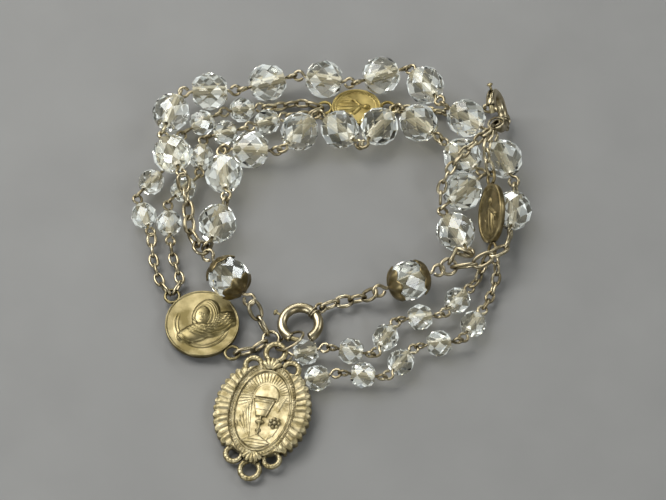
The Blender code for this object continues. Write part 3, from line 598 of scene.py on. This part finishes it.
def round_relief(x, y):
    """A veiled head bowed over cloth that sweeps out to the right, in a dished field with a thin rim."""
    r = np.hypot(x, y)
    height = 0.16 * step(r - 7.15, 0.15) + 0.12 * (r / 7.5) ** 2
    halo = ridge(r - 5.5, 0.14) + 0.7 * ridge(r - 4.9, 0.12)
    height = height + 0.13 * halo * step(-0.4 * x - y - 0.6, 2.5)

    breast = 0.80 * dome(x, y, -1.0, -2.1, 4.3, 2.1, 20)
    shoulder = 0.46 * dome(x, y, 2.0, -0.8, 4.2, 2.3, 18)
    veil = 0.66 * dome(x, y, 0.75, 1.9, 2.7, 3.7, -20)
    trail = 0.44 * dome(x, y, 4.0, 0.6, 4.4, 2.0, 10)
    cloth = np.maximum.reduce([breast, shoulder, veil, trail])
    folds = sum(fold(x, y, 4.0 + 0.66 * k, 0.0, 0.22, -158 + 7 * k, -18 + 3 * k) for k in range(5))
    lines = sum(ridge(y + 0.5 - 0.16 * (x - 2.0) - 0.55 * k, 0.13) * step(x - 2.4 - 0.15 * k, 1.6)
                for k in range(5))
    drape = sum(ridge(np.hypot((x - 0.45) / (2.1 + 0.42 * k), (y - 1.7) / (2.9 + 0.40 * k)) - 1.0, 0.05)
                * step(x - 0.3, 1.2) for k in range(3))
    cloth = cloth + (0.16 * folds + 0.14 * lines + 0.09 * drape) * (cloth > 0.02)

    tilt = math.radians(-10)
    u = (x - 0.1) * math.cos(tilt) + (y - 1.6) * math.sin(tilt)
    v = -(x - 0.1) * math.sin(tilt) + (y - 1.6) * math.cos(tilt)
    oval = np.hypot(u / 1.5, v / 2.1)
    face = 0.52 + 0.32 * dome(u, v, 0, 0, 1.5, 2.1)
    face = face + 0.15 * stroke(u, v, 0.0, 0.30, 0.0, -0.42, 0.20) + 0.05 * dome(u, v, 0, -0.45, 0.34, 0.2)
    sockets = ridge(np.hypot((u - 0.55) / 0.5, (v - 0.18) / 0.3), 0.8) + ridge(
        np.hypot((u + 0.55) / 0.5, (v - 0.18) / 0.3), 0.8)
    lids = dome(u, v, 0.55, 0.10, 0.36, 0.19) + dome(u, v, -0.55, 0.10, 0.36, 0.19)
    brows = stroke(u, v, 0.28, 0.46, 0.86, 0.40, 0.14) + stroke(u, v, -0.28, 0.46, -0.86, 0.40, 0.14)
    lips = stroke(u, v, -0.34, -0.93, 0.34, -0.93, 0.10) + stroke(u, v, -0.24, -1.12, 0.24, -1.12, 0.12)
    chin = dome(u, v, 0, -1.62, 0.45, 0.3)
    face = face - 0.09 * sockets + 0.10 * lids + 0.05 * brows + 0.07 * lips + 0.05 * chin
    inside = step(1.0 - oval, 0.10)
    around = ridge(oval - 1.05, 0.05)
    figure = cloth * (1 - inside) + face * inside - 0.10 * around
    return height + figure * step(6.35 - r, 1.7)


def standing_relief(half_width, half_height, across=False):
    """A small robed figure with rays from its hands, inside a beaded border."""
    def height(x, y):
        if across:
            x, y = -y, x
            w, h = half_height, half_width
        else:
            w, h = half_width, half_height
        r = np.hypot(x / w, y / h)
        angle = np.arctan2(y / h, x / w)
        beading = 0.55 + 0.45 * np.cos(angle * 40)
        border = 0.24 * step(r - 0.9, 0.05) + 0.14 * ridge(r - 0.83, 0.03) * beading
        scale = h / 5.0
        u, v = x / scale, y / scale
        robe = 0.5 * dome(u, v, 0, -1.3, 1.15 + 0.12 * (0 - v).clip(0, 3), 2.6)
        head = 0.55 * dome(u, v, 0, 2.0, 0.62, 0.78)
        arms = 0.4 * (stroke(u, v, -0.4, 0.6, -1.5, -0.4, 0.34) + stroke(u, v, 0.4, 0.6, 1.5, -0.4, 0.34))
        folds = 0.07 * np.cos(u * 9) * (robe > 0.1)
        rays = 0.10 * sum(stroke(u, v, s * 1.5, -0.5, s * (1.2 + 0.5 * k), -2.8, 0.10)
                          for s in (-1, 1) for k in range(4))
        return border + np.maximum(np.maximum(robe + folds, head), np.maximum(arms, rays)) * (r < 0.8)
    return height


def medal(name, shape, hoops, place, turn, material, node):
    base = place - turn @ UP * (MEDAL_THICK / 2)
    shapes = [moved(shape, turn, base)]
    for hoop in hoops:
        shapes.append(hoop_wire(hoop))
    build(name, shapes, material, node)


# ---- the hanging medal ----
PENDANT_PLACE = Vector((-14.0, -38.2, 1.9))
PENDANT_TURN = (Matrix.Rotation(math.radians(-11.0), 3, "Z") @ Matrix.Rotation(math.radians(3.5), 3, "X")
                @ Matrix.Rotation(math.radians(-3.0), 3, "Y"))
PENDANT_THICK = 1.5
RIB = math.radians(8.4)


def rib_share(angle):
    """1 on the two fluted sides, 0 above and below."""
    return float(step(np.array(abs(math.cos(angle)) - 0.58), 0.16))


def pendant_outline(angle):
    share = rib_share(angle)
    wave = abs(math.cos(math.pi * angle / RIB)) ** 0.7
    scale = 0.885 + share * (0.045 + 0.07 * wave)
    return 9.8 * scale * math.cos(angle), 11.2 * scale * math.sin(angle)


def chalice(x, y):
    """A tapering cup on a knotted stem, standing on a mound before a round host."""
    cup_half = np.clip(1.15 + 0.30 * (y + 0.9), 0.2, 2.1)
    within = step(cup_half - np.abs(x), 0.16) * step(y + 1.3, 0.16) * step(2.4 - y, 0.16)
    rounded = np.sqrt(np.clip(1 - (x / (cup_half + 0.25)) ** 2, 0.1, None))
    outline = ridge(np.abs(x) - cup_half, 0.10) * step(y + 1.4, 0.2) * step(2.4 - y, 0.2)
    cup = 0.44 * within * rounded + 0.16 * outline + 0.20 * stroke(x, y, -2.1, 2.35, 2.1, 2.35, 0.17)
    panel = 0.10 * (ridge(y - 1.75, 0.09) + ridge(y - 0.1, 0.09)) * within
    round_cup = step(cup_half + 0.42 - np.abs(x), 0.2) * step(y + 1.7, 0.2) * step(2.85 - y, 0.2)
    stem = 0.38 * stroke(x, y, 0, -1.3, 0, -5.2, 0.26)
    knots = np.maximum(0.56 * dome(x, y, 0, -2.5, 0.95, 0.5), 0.48 * dome(x, y, 0, -4.3, 0.6, 0.4))
    mound = 0.26 * step(-5.2 - 0.36 * np.abs(x) * 1.6 - y, 0.3)
    steps_cut = 0.09 * (ridge(y + 6.3, 0.10) + ridge(y + 7.0, 0.10) + ridge(y + 7.6, 0.10)) * (mound > 0.1)
    host = 0.20 * step(2.45 - np.hypot(x - 0.35, y - 3.3), 0.2) + 0.06 * dome(x, y, 0.35, 3.3, 2.4, 2.4)
    host = host * (1 - round_cup)
    return np.maximum.reduce([cup + panel, stem, knots, mound + steps_cut, host])


def harvest(x, y):
    """Ears of wheat at the left, a cluster of grapes and curled leaves at the right."""
    height = 0.0 * x
    for k in range(6):
        top_x, top_y = -2.5 - 0.40 * k, 1.4 - 1.0 * k
        height = height + 0.07 * stroke(x, y, -1.6 - 0.25 * k, -6.2 + 0.3 * k, top_x, top_y, 0.12)
        height = height + 0.12 * dome(x, y, top_x - 0.05, top_y + 0.3, 0.2, 0.75, 14)
    for k in range(4):
        base_x, base_y = 1.5 + 0.5 * k, -6.6 + 0.5 * k
        height = height + 0.07 * stroke(x, y, base_x, base_y, 2.3 + 0.45 * k, -5.0 + 0.5 * k, 0.13)
        height = height + 0.10 * dome(x, y, 3.3 + 0.25 * k, 0.8 + 0.8 * k, 0.2, 0.7, -18)
    bunch_x, bunch_y = 2.95, -2.3
    grapes = [0.42 * dome(x, y, bunch_x, bunch_y, 0.40, 0.40)]
    for k in range(7):
        turn = math.tau * k / 7
        grape_x, grape_y = bunch_x + 0.92 * math.cos(turn), bunch_y + 0.92 * math.sin(turn)
        grapes.append(0.42 * dome(x, y, grape_x, grape_y, 0.40, 0.40))
    return np.maximum.reduce([height, *grapes])


def pendant_relief(x, y):
    """The chalice inside a raised oval frame, a line of pearls round it, and flutes out to the edge."""
    frame_r = np.hypot(x / 5.55, y / 8.7)
    angle = np.arctan2(y / 11.2, x / 9.8)
    edge_r = np.hypot(x / 9.8, y / 11.2)
    height = 0.30 * ridge(frame_r - 1.0, 0.032) - 0.14 * step(0.97 - frame_r, 0.03)
    outside = step(frame_r - 1.05, 0.02)
    pearls = ridge(frame_r - 1.10, 0.028) * (0.5 + 0.5 * np.cos(angle * 84))
    waves = np.abs(np.cos(math.pi * angle / RIB))
    creases = ridge(np.abs(np.sin(math.pi * angle / RIB)) - 0.36, 0.12)
    start = step(frame_r - 1.17, 0.04)
    flutes = (0.44 * waves ** 0.6 - 0.18 * creases) * start
    lift = 0.20 * start - 0.40 * step(edge_r - 0.94, 0.12)
    height = height + outside * (0.08 + 0.26 * pearls + flutes + lift)

    inside = step(0.94 - frame_r, 0.04)
    ray_angle = np.arctan2(y - 3.0, x - 0.2)
    ray_r = np.hypot(x - 0.2, (y - 3.0) * 0.8)
    fans = 0.5 + 0.5 * np.cos(ray_angle * 44)
    rays = 0.09 * fans * step(ray_r - 2.7, 0.3) * step(y - 1.0, 2.0) * step(1.03 - frame_r, 0.1)
    picture = np.maximum.reduce([chalice(x, y), rays, harvest(x, y)])
    return height + picture * inside


def rope(s, t):
    """Rounded bumps along a loop, stronger on its two faces."""
    return 1 + 0.14 * max(0.0, math.cos(math.tau * 15 * s)) * (0.4 + 0.6 * abs(math.sin(math.tau * t)))


def shell_rib(s, t):
    return 0.45 + 0.75 * math.sin(min(1.0, s * 1.25) * math.pi * 0.75)


def pendant():
    base = PENDANT_PLACE - PENDANT_TURN @ UP * (PENDANT_THICK / 2)
    shapes = [relief_plate(pendant_outline, pendant_relief, PENDANT_THICK, 120, 360)]
    middle = PENDANT_THICK / 2
    for sign in (1, -1):
        end_at = 13.1 if sign > 0 else 12.6
        for cx, cy, radius in ((-3.8, 9.75, 1.6), (3.8, 9.75, 1.6), (0.0, end_at, 1.9)):
            points = circle_points(Vector((cx, sign * cy, middle)), radius, UP, 90)
            shapes.append(tube(points, 0.54, True, 12, rope))
        for k in range(5):
            lean = math.radians(-52 + 26 * k)
            tip = Vector((2.3 * math.sin(lean), sign * (8.9 + 2.5 * math.cos(lean)), PENDANT_THICK + 0.05))
            foot = Vector((0.3 * math.sin(lean), sign * 9.0, PENDANT_THICK + 0.2))
            path = [foot.lerp(tip, q / 8) for q in range(9)]
            shapes.append(tube(path, 0.5, False, 8, shell_rib))
    shapes = [moved(shape, PENDANT_TURN, base) for shape in shapes]
    build("pendant_relief", shapes, PALE, "pendant_medal")


# ---- clasps ----
CLASP_RADIUS, CLASP_TUBE, CLASP_MOUTH = 3.7, 1.0, 30
COLLAR_EYE, COLLAR_WIRE = 1.0, 0.28
COLLAR_REACH = CLASP_RADIUS + CLASP_TUBE + 0.75
BOLT_TIP, BOLT_TRAVEL = -4, 30
FRONT_COLLAR, REAR_COLLAR = 132, 132
FRONT_KNOB, REAR_KNOB = -118, -88
REAR_CLASP = Vector((34.1, 29.6, 6.7))
REAR_TURN = Matrix.Rotation(math.radians(67.0), 3, "Y") @ Matrix.Rotation(math.radians(-47.0), 3, "Z")


def clasp_point(degrees, radius, height=0.0):
    angle = math.radians(degrees)
    return Vector((radius * math.sin(angle), -radius * math.cos(angle), height))


def arc(radius, start, end, count):
    return [clasp_point(start + (end - start) * k / count, radius) for k in range(count + 1)]


def open_tube(start, end, knob):
    """A hollow bent tube with a slot along its outer side for the knob."""
    steps, sides = 96, 28
    wall = 0.3
    slot_from, slot_to = knob - BOLT_TRAVEL - 7, knob + BOLT_TRAVEL + 9
    corners = []
    faces = []
    for radius in (CLASP_TUBE, CLASP_TUBE - wall):
        for k in range(steps + 1):
            degrees = start + (end - start) * k / steps
            out = clasp_point(degrees, 1.0)
            for s in range(sides):
                angle = math.tau * (s + 0.5) / sides
                lip = 0.0 if 0 < k < steps else -0.12
                size = radius + (lip if radius == CLASP_TUBE else 0.0)
                corners.append(out * (CLASP_RADIUS + size * math.cos(angle)) + UP * size * math.sin(angle))
    sheet = (steps + 1) * sides

    def missing(k, s):
        degrees = (start + (end - start) * (k + 0.5) / steps + 180) % 360 - 180
        return slot_from < degrees < slot_to and (s % sides) in (0, 1, sides - 1, sides - 2)

    for k in range(steps):
        for s in range(sides):
            if missing(k, s):
                continue
            after = (s + 1) % sides
            outer = [k * sides + s, (k + 1) * sides + s, (k + 1) * sides + after, k * sides + after]
            faces.append(tuple(outer))
            faces.append(tuple(sheet + corner for corner in reversed(outer)))
            for near, a, b in ((missing(k, after), 3, 2), (missing(k, s - 1), 1, 0)):
                if near:
                    faces.append((outer[a], outer[b], sheet + outer[b], sheet + outer[a]))
            if 0 < k and missing(k - 1, s):
                faces.append((outer[0], outer[3], sheet + outer[3], sheet + outer[0]))
            if k < steps - 1 and missing(k + 1, s):
                faces.append((outer[2], outer[1], sheet + outer[1], sheet + outer[2]))
    for k in (0, steps):
        for s in range(sides):
            after = (s + 1) % sides
            ring = (k * sides + s, k * sides + after, sheet + k * sides + after, sheet + k * sides + s)
            faces.append(ring if k == 0 else tuple(reversed(ring)))
    return corners, faces


def knob_swell(s, t):
    """A thin stem that ends in a ball."""
    if s < 0.62:
        return 1.0
    return 1.0 + 1.5 * math.sin(min(1.0, (s - 0.62) / 0.31) * math.pi) ** 0.5


def clasp(label, centre, turn, collar, knob):
    eye_centre = clasp_point(collar, COLLAR_REACH)
    shapes = [open_tube(CLASP_MOUTH, 360 - CLASP_MOUTH, knob)]
    shapes.append(tube(circle_points(eye_centre, COLLAR_EYE, UP), COLLAR_WIRE + 0.02, True))
    for shift in (-5, 5):
        along = clasp_point(collar + shift + 90, 1.0)
        band = circle_points(clasp_point(collar + shift, CLASP_RADIUS), CLASP_TUBE + 0.1, along)
        shapes.append(tube(band, 0.2, True))
    shapes = [moved(shape, turn, centre) for shape in shapes]
    build(label + "_clasp_tube", shapes, GILT, label + "_clasp_ring")
    bolt = tube(arc(CLASP_RADIUS, knob - 8, BOLT_TIP, 40), 0.52, False, 14)
    foot = clasp_point(knob, CLASP_RADIUS + 0.2)
    top = clasp_point(knob, CLASP_RADIUS + CLASP_TUBE + 1.3)
    stem = [foot.lerp(top, k / 12) for k in range(13)]
    shapes = [moved(shape, turn, centre) for shape in (bolt, tube(stem, 0.26, False, 12, knob_swell))]
    build(label + "_clasp_slider", shapes, PALE, label + "_clasp_bolt")


def collar_hoop(centre, turn, collar):
    return Hoop(centre + turn @ clasp_point(collar, COLLAR_REACH), turn @ UP, COLLAR_EYE, COLLAR_WIRE)


# ---- caps of the two large end beads ----
def cap(bead, centre, along):
    """A thin cup with a scalloped, ribbed edge."""
    steps, rows = 72, 12
    corners = []
    for shell, thick in ((0, 0.26), (1, 0.04)):
        for r in range(rows + 1):
            for k in range(steps):
                turn = math.tau * k / steps
                petal = 0.5 + 0.5 * math.cos(turn * 7)
                edge = 47 + 13 * petal ** 0.45
                tilt = math.radians(3 + (edge - 3) * r / rows)
                rib = 0.22 * petal * math.sin(math.pi * r / rows) if shell == 0 else 0.0
                flare = 0.10 * (r / rows) ** 4 * petal
                size = bead.radius + thick + rib + flare
                out = size * math.sin(tilt)
                corners.append((out * math.cos(turn), out * math.sin(turn), size * math.cos(tilt)))
    sheet = (rows + 1) * steps
    faces = []
    for r in range(rows):
        for k in range(steps):
            after = (k + 1) % steps
            quad = (r * steps + k, (r + 1) * steps + k, (r + 1) * steps + after, r * steps + after)
            faces.append(quad)
            faces.append(tuple(sheet + q for q in reversed(quad)))
    for k in range(steps):
        after = (k + 1) % steps
        low = rows * steps
        faces.append((low + k, sheet + low + k, sheet + low + after, low + after))
        faces.append((after, sheet + after, sheet + k, k))
    return moved((corners, faces), along.to_track_quat("Z", "Y").to_matrix(), centre)


# ---- putting the wires in ----
holds = {}
pin_shapes = {}
for strand_name, strand_bead, roll in (
    ("outer", LARGE, 20), ("inner", LARGE, 70), ("front_upper", SMALL, 0), ("front_lower", SMALL, 0),
    ("side_outer", SMALL, 20), ("side_inner", SMALL, 20),
    ("left_capped", CAPPED, 20), ("right_capped", CAPPED, 20),
):
    pin_shapes[strand_name], holds[strand_name] = pins(strand_name, strand_bead, roll)


def end_ring(name, index):
    ends = holds[name]
    start = ends[index]
    along = (ends[0] - ends[1]).normalized() if index == 0 else (ends[-1] - ends[-2]).normalized()
    normal = along.cross(side_frame(along, 20)).normalized()
    return Hoop(start + along * (1.6 - CAPPED.wire + 0.12), normal, 1.6, CAPPED.wire)


LEFT_RING = end_ring("left_capped", 0)
RIGHT_RING = end_ring("right_capped", -1)
TAIL_RING = Hoop(Vector((-12.47, -21.39, 1.3)), UP, 1.6, 0.36)
ROUND_RIGHT = medal_hoop(ROUND_PLACE, ROUND_BASIS, 0, ROUND_RADIUS, ROUND_EYE)
ROUND_LEFT = medal_hoop(ROUND_PLACE, ROUND_BASIS, 180, ROUND_RADIUS, ROUND_EYE)
GOLD_LEFT = medal_hoop(GOLD_PLACE, LEVEL, 180, GOLD_HALF[0], GOLD_EYE)
GOLD_RIGHT = medal_hoop(GOLD_PLACE, LEVEL, 0, GOLD_HALF[0], GOLD_EYE)
SIDE_TOP = medal_hoop(SIDE_PLACE, SIDE_TURN, 90, SIDE_HALF[0], SIDE_EYE)
SIDE_BOTTOM = medal_hoop(SIDE_PLACE, SIDE_TURN, 270, SIDE_HALF[0], SIDE_EYE)
FRONT_EYE = collar_hoop(FRONT_CLASP, LEVEL, FRONT_COLLAR)
REAR_EYE = collar_hoop(REAR_CLASP, REAR_TURN, REAR_COLLAR)
JUMP_RING = Hoop(Vector((-8.73, -22.65, 2.72)), Vector((-0.47, 0.53, 0.71)).normalized(), 3.09, 0.3)
DROP_RING = Hoop(Vector((33.75, 26.04, 7.53)), Vector((0.28, -0.26, -0.92)).normalized(), 1.61, 0.25)


def wire_piece(name, shapes, node):
    build(name, shapes, GILT, node)


outer = pin_shapes["outer"]
outer += chain([(-29.0, -0.6, 6.4), (-29.4, 4.6, 7.2), (-30.2, 9.4, 7.8), holds["outer"][0]], HEAVY,
               first=LEFT_RING, count=5)
outer += chain([(28.0, -6.4, 4.6), (32.0, -4.8, 6.0), (35.2, -2.4, 5.4), holds["outer"][-1]], HEAVY,
               first=RIGHT_RING)
wire_piece("outer_strand_links", outer, "outer_strand_wire")

inner = pin_shapes["inner"]
inner += chain([holds["inner"][0]], HEAVY, first=LEFT_RING, count=1)
inner += chain([(24.6, -2.4, 4.0), holds["inner"][-1]], HEAVY, first=RIGHT_RING, count=2)
wire_piece("inner_strand_links", inner, "inner_strand_wire")

side = pin_shapes["side_outer"]
side += chain([holds["side_outer"][0], (-37.0, -1.0, 1.4), (-36.0, -6.0, 1.3), (-34.6, -9.4, 1.4)], FINE,
              last=ROUND_LEFT)
side += chain([holds["side_outer"][-1], (-12.0, 33.9, 1.3), (-6.6, 35.0, 1.2)], FINE, last=GOLD_LEFT)
wire_piece("side_outer_links", side, "side_outer_wire")
side = pin_shapes["side_inner"]
side += chain([holds["side_inner"][0], (-32.6, -3.0, 1.3), (-31.0, -8.2, 1.4)], FINE, last=ROUND_LEFT)
side += chain([holds["side_inner"][-1], (-5.6, 32.0, 1.2)], FINE, last=GOLD_LEFT)
wire_piece("side_inner_links", side, "side_inner_wire")

front = pin_shapes["front_upper"]
front += chain([holds["front_upper"][-1], (29.6, -7.4, 1.3), (30.8, -3.8, 1.0)], FINE, last=SIDE_BOTTOM)
wire_piece("front_upper_links", front, "front_upper_wire")
front = pin_shapes["front_lower"]
front += chain([holds["front_lower"][-1], (32.4, -10.4, 1.3), (33.4, -6.4, 3.0)], FINE, last=SIDE_BOTTOM)
wire_piece("front_lower_links", front, "front_lower_wire")

tail = pin_shapes["left_capped"] + [hoop_wire(LEFT_RING), hoop_wire(TAIL_RING), hoop_wire(JUMP_RING)]
tail += chain([holds["left_capped"][-1], (-14.8, -17.6, 2.4)], HEAVY,
              last=TAIL_RING, last_loose=False, count=2)
tail += chain([(-17.2, -24.6, 1.3)], HEAVY, first=TAIL_RING, last=ROUND_RIGHT, first_loose=False, count=2)
wire_piece("left_capped_links", tail, "left_capped_wire")

right = pin_shapes["right_capped"] + [hoop_wire(RIGHT_RING)]
right += chain([holds["right_capped"][0], (5.6, -12.4, 1.9), (1.6, -13.0, 1.6)], HEAVY,
               last=FRONT_EYE, count=4)
wire_piece("right_capped_links", right, "right_capped_wire")

rear = chain([(13.4, 33.8, 1.1), (20.0, 33.0, 1.2), (27.0, 32.6, 1.3), (31.6, 33.6, 1.4), (34.9, 33.0, 1.4)],
             FINE, first=GOLD_RIGHT, last=REAR_EYE)
wire_piece("rear_chain_links", rear, "rear_chain")
drops = [hoop_wire(DROP_RING)]
drops += chain([(32.6, 23.0, 9.2), (31.4, 18.0, 9.2)], FINE,
               first=DROP_RING, last=SIDE_TOP, first_loose=False)
drops += chain([(32.2, 23.2, 9.4), (29.0, 19.8, 9.6), (26.0, 16.8, 9.2), (23.8, 14.0, 8.4), (22.2, 11.0, 6.2),
                (22.0, 8.6, 4.4)], FINE, first=DROP_RING, first_loose=False)
wire_piece("side_chain_links", drops, "side_chains")

for strand_name in ("left_capped", "right_capped"):
    first_end, last_end = holds[strand_name]
    lengthwise = (last_end - first_end).normalized()
    middle_point = (first_end + last_end) / 2
    cups = [cap(CAPPED, middle_point, lengthwise), cap(CAPPED, middle_point, -lengthwise)]
    build(strand_name + "_caps", cups, BROWN, strand_name + "_wire")

make_beads()
round_shape = relief_plate(oval_outline(ROUND_RADIUS, ROUND_RADIUS), round_relief, MEDAL_FIELD, 100, 260)
medal("round_medal_relief", round_shape, (ROUND_LEFT, ROUND_RIGHT), ROUND_PLACE, LEVEL, OLIVE, "round_medal")
gold_relief = standing_relief(*GOLD_HALF, across=True)
gold_shape = relief_plate(oval_outline(*GOLD_HALF), gold_relief, MEDAL_FIELD, 70, 200)
medal("gold_medal_relief", gold_shape, (GOLD_LEFT, GOLD_RIGHT), GOLD_PLACE, LEVEL, GOLD, "gold_medal")
side_relief = standing_relief(SIDE_HALF[1], SIDE_HALF[0])
side_shape = relief_plate(oval_outline(SIDE_HALF[1], SIDE_HALF[0]), side_relief, MEDAL_FIELD, 70, 200)
medal("side_medal_relief", side_shape, (SIDE_TOP, SIDE_BOTTOM), SIDE_PLACE, SIDE_TURN, BROWN, "side_medal")
pendant()
clasp("front", FRONT_CLASP, LEVEL, FRONT_COLLAR, FRONT_KNOB)
clasp("rear", REAR_CLASP, REAR_TURN, REAR_COLLAR, REAR_KNOB)


# ---- table, light and camera ----
def table_top():
    made, tree, output = nodes_of("table_paper")
    shader = add(tree, "BsdfPrincipled")
    coordinates = add(tree, "TexCoord")
    noise = add(tree, "TexNoise")
    noise.inputs["Scale"].default_value = 45.0
    noise.inputs["Detail"].default_value = 4.0
    tree.links.new(coordinates.outputs["Object"], noise.inputs["Vector"])
    ramp = add(tree, "ValToRGB")
    set_ramp(ramp, [(0.35, (0.197, 0.194, 0.188)), (0.7, (0.214, 0.211, 0.204))])
    tree.links.new(noise.outputs[0], ramp.inputs[0])
    tree.links.new(ramp.outputs[0], shader.inputs["Base Color"])
    shader.inputs["Roughness"].default_value = 0.65
    tree.links.new(shader.outputs[0], output.inputs["Surface"])
    size = 1.5
    corners = [(-size, -size, 0), (size, -size, 0), (size, size, 0), (-size, size, 0)]
    mesh = bpy.data.meshes.new("table")
    mesh.from_pydata(corners, [], [(0, 1, 2, 3)])
    mesh.materials.append(made)
    top = bpy.data.objects.new("table", mesh)
    bpy.context.scene.collection.objects.link(top)


def lamp(name, place, target, size, power, colour):
    data = bpy.data.lights.new(name, "AREA")
    data.shape = "RECTANGLE"
    data.size, data.size_y = size
    data.energy = power
    data.color = colour
    made = bpy.data.objects.new(name, data)
    bpy.context.scene.collection.objects.link(made)
    made.location = place
    made.rotation_euler = (Vector(target) - Vector(place)).to_track_quat("-Z", "Y").to_euler()


def sky():
    """A dim room whose walls carry bright upright panels, so that the glass has light and dark to bend."""
    world = bpy.data.worlds.new("studio")
    bpy.context.scene.world = world
    world.use_nodes = True
    tree = world.node_tree
    tree.nodes.clear()
    output = tree.nodes.new("ShaderNodeOutputWorld")
    background = add(tree, "Background")
    coordinates = add(tree, "TexCoord")
    split = add(tree, "SeparateXYZ")
    tree.links.new(coordinates.outputs["Generated"], split.inputs[0])
    round_room = add(tree, "Math", operation="ARCTAN2")
    tree.links.new(split.outputs["Y"], round_room.inputs[0])
    tree.links.new(split.outputs["X"], round_room.inputs[1])
    turns = add(tree, "Math", operation="MULTIPLY")
    turns.inputs[1].default_value = 5.0
    tree.links.new(round_room.outputs[0], turns.inputs[0])
    panels = add(tree, "Math", operation="SINE")
    tree.links.new(turns.outputs[0], panels.inputs[0])
    panel_light = add(tree, "ValToRGB")
    set_ramp(panel_light, [(0.15, (0.05, 0.05, 0.048)), (0.45, (1.25, 1.3, 1.3))])
    tree.links.new(panels.outputs[0], panel_light.inputs[0])
    height = add(tree, "ValToRGB")
    levels = ((0.0, 0.5), (0.10, 0.22), (0.55, 0.8), (0.8, 0.45))
    set_ramp(height, [(position, (grey, grey, grey)) for position, grey in levels])
    tree.links.new(split.outputs["Z"], height.inputs[0])
    mix = add(tree, "Mix", data_type="RGBA", blend_type="MULTIPLY")
    mix.inputs[0].default_value = 1.0
    tree.links.new(panel_light.outputs[0], mix.inputs[6])
    tree.links.new(height.outputs[0], mix.inputs[7])
    tree.links.new(mix.outputs[2], background.inputs["Color"])
    background.inputs["Strength"].default_value = 0.62
    tree.links.new(background.outputs[0], output.inputs["Surface"])


table_top()
sky()
centre = OFFSET * MM
lamp("window", centre + Vector((-0.30, 0.30, 0.62)), centre, (0.45, 0.45), 4.3, (1.0, 0.99, 0.96))
for number in range(5):
    turn = math.radians(20 + 72 * number)
    high = 0.24 if number % 2 else 0.42
    spot = centre + Vector((0.5 * math.cos(turn), 0.5 * math.sin(turn), high))
    lamp(f"panel_{number}", spot, centre, (0.10, 0.22), 0.75, (0.95, 0.99, 1.0))

scene = bpy.context.scene
scene.view_settings.view_transform = "Standard"
camera_data = bpy.data.cameras.new("camera")
camera = bpy.data.objects.new("camera", camera_data)
scene.collection.objects.link(camera)
FRAME_WIDTH = 666 * 0.205 * MM
DISTANCE = 0.65
camera_data.sensor_width = 36.0
camera_data.lens = 36.0 * DISTANCE / FRAME_WIDTH
tilt = math.radians(60)
camera.location = centre + DISTANCE * Vector((0.0, -math.cos(tilt), math.sin(tilt)))
camera.rotation_euler = (math.pi / 2 - tilt, 0.0, 0.0)
scene.camera = camera
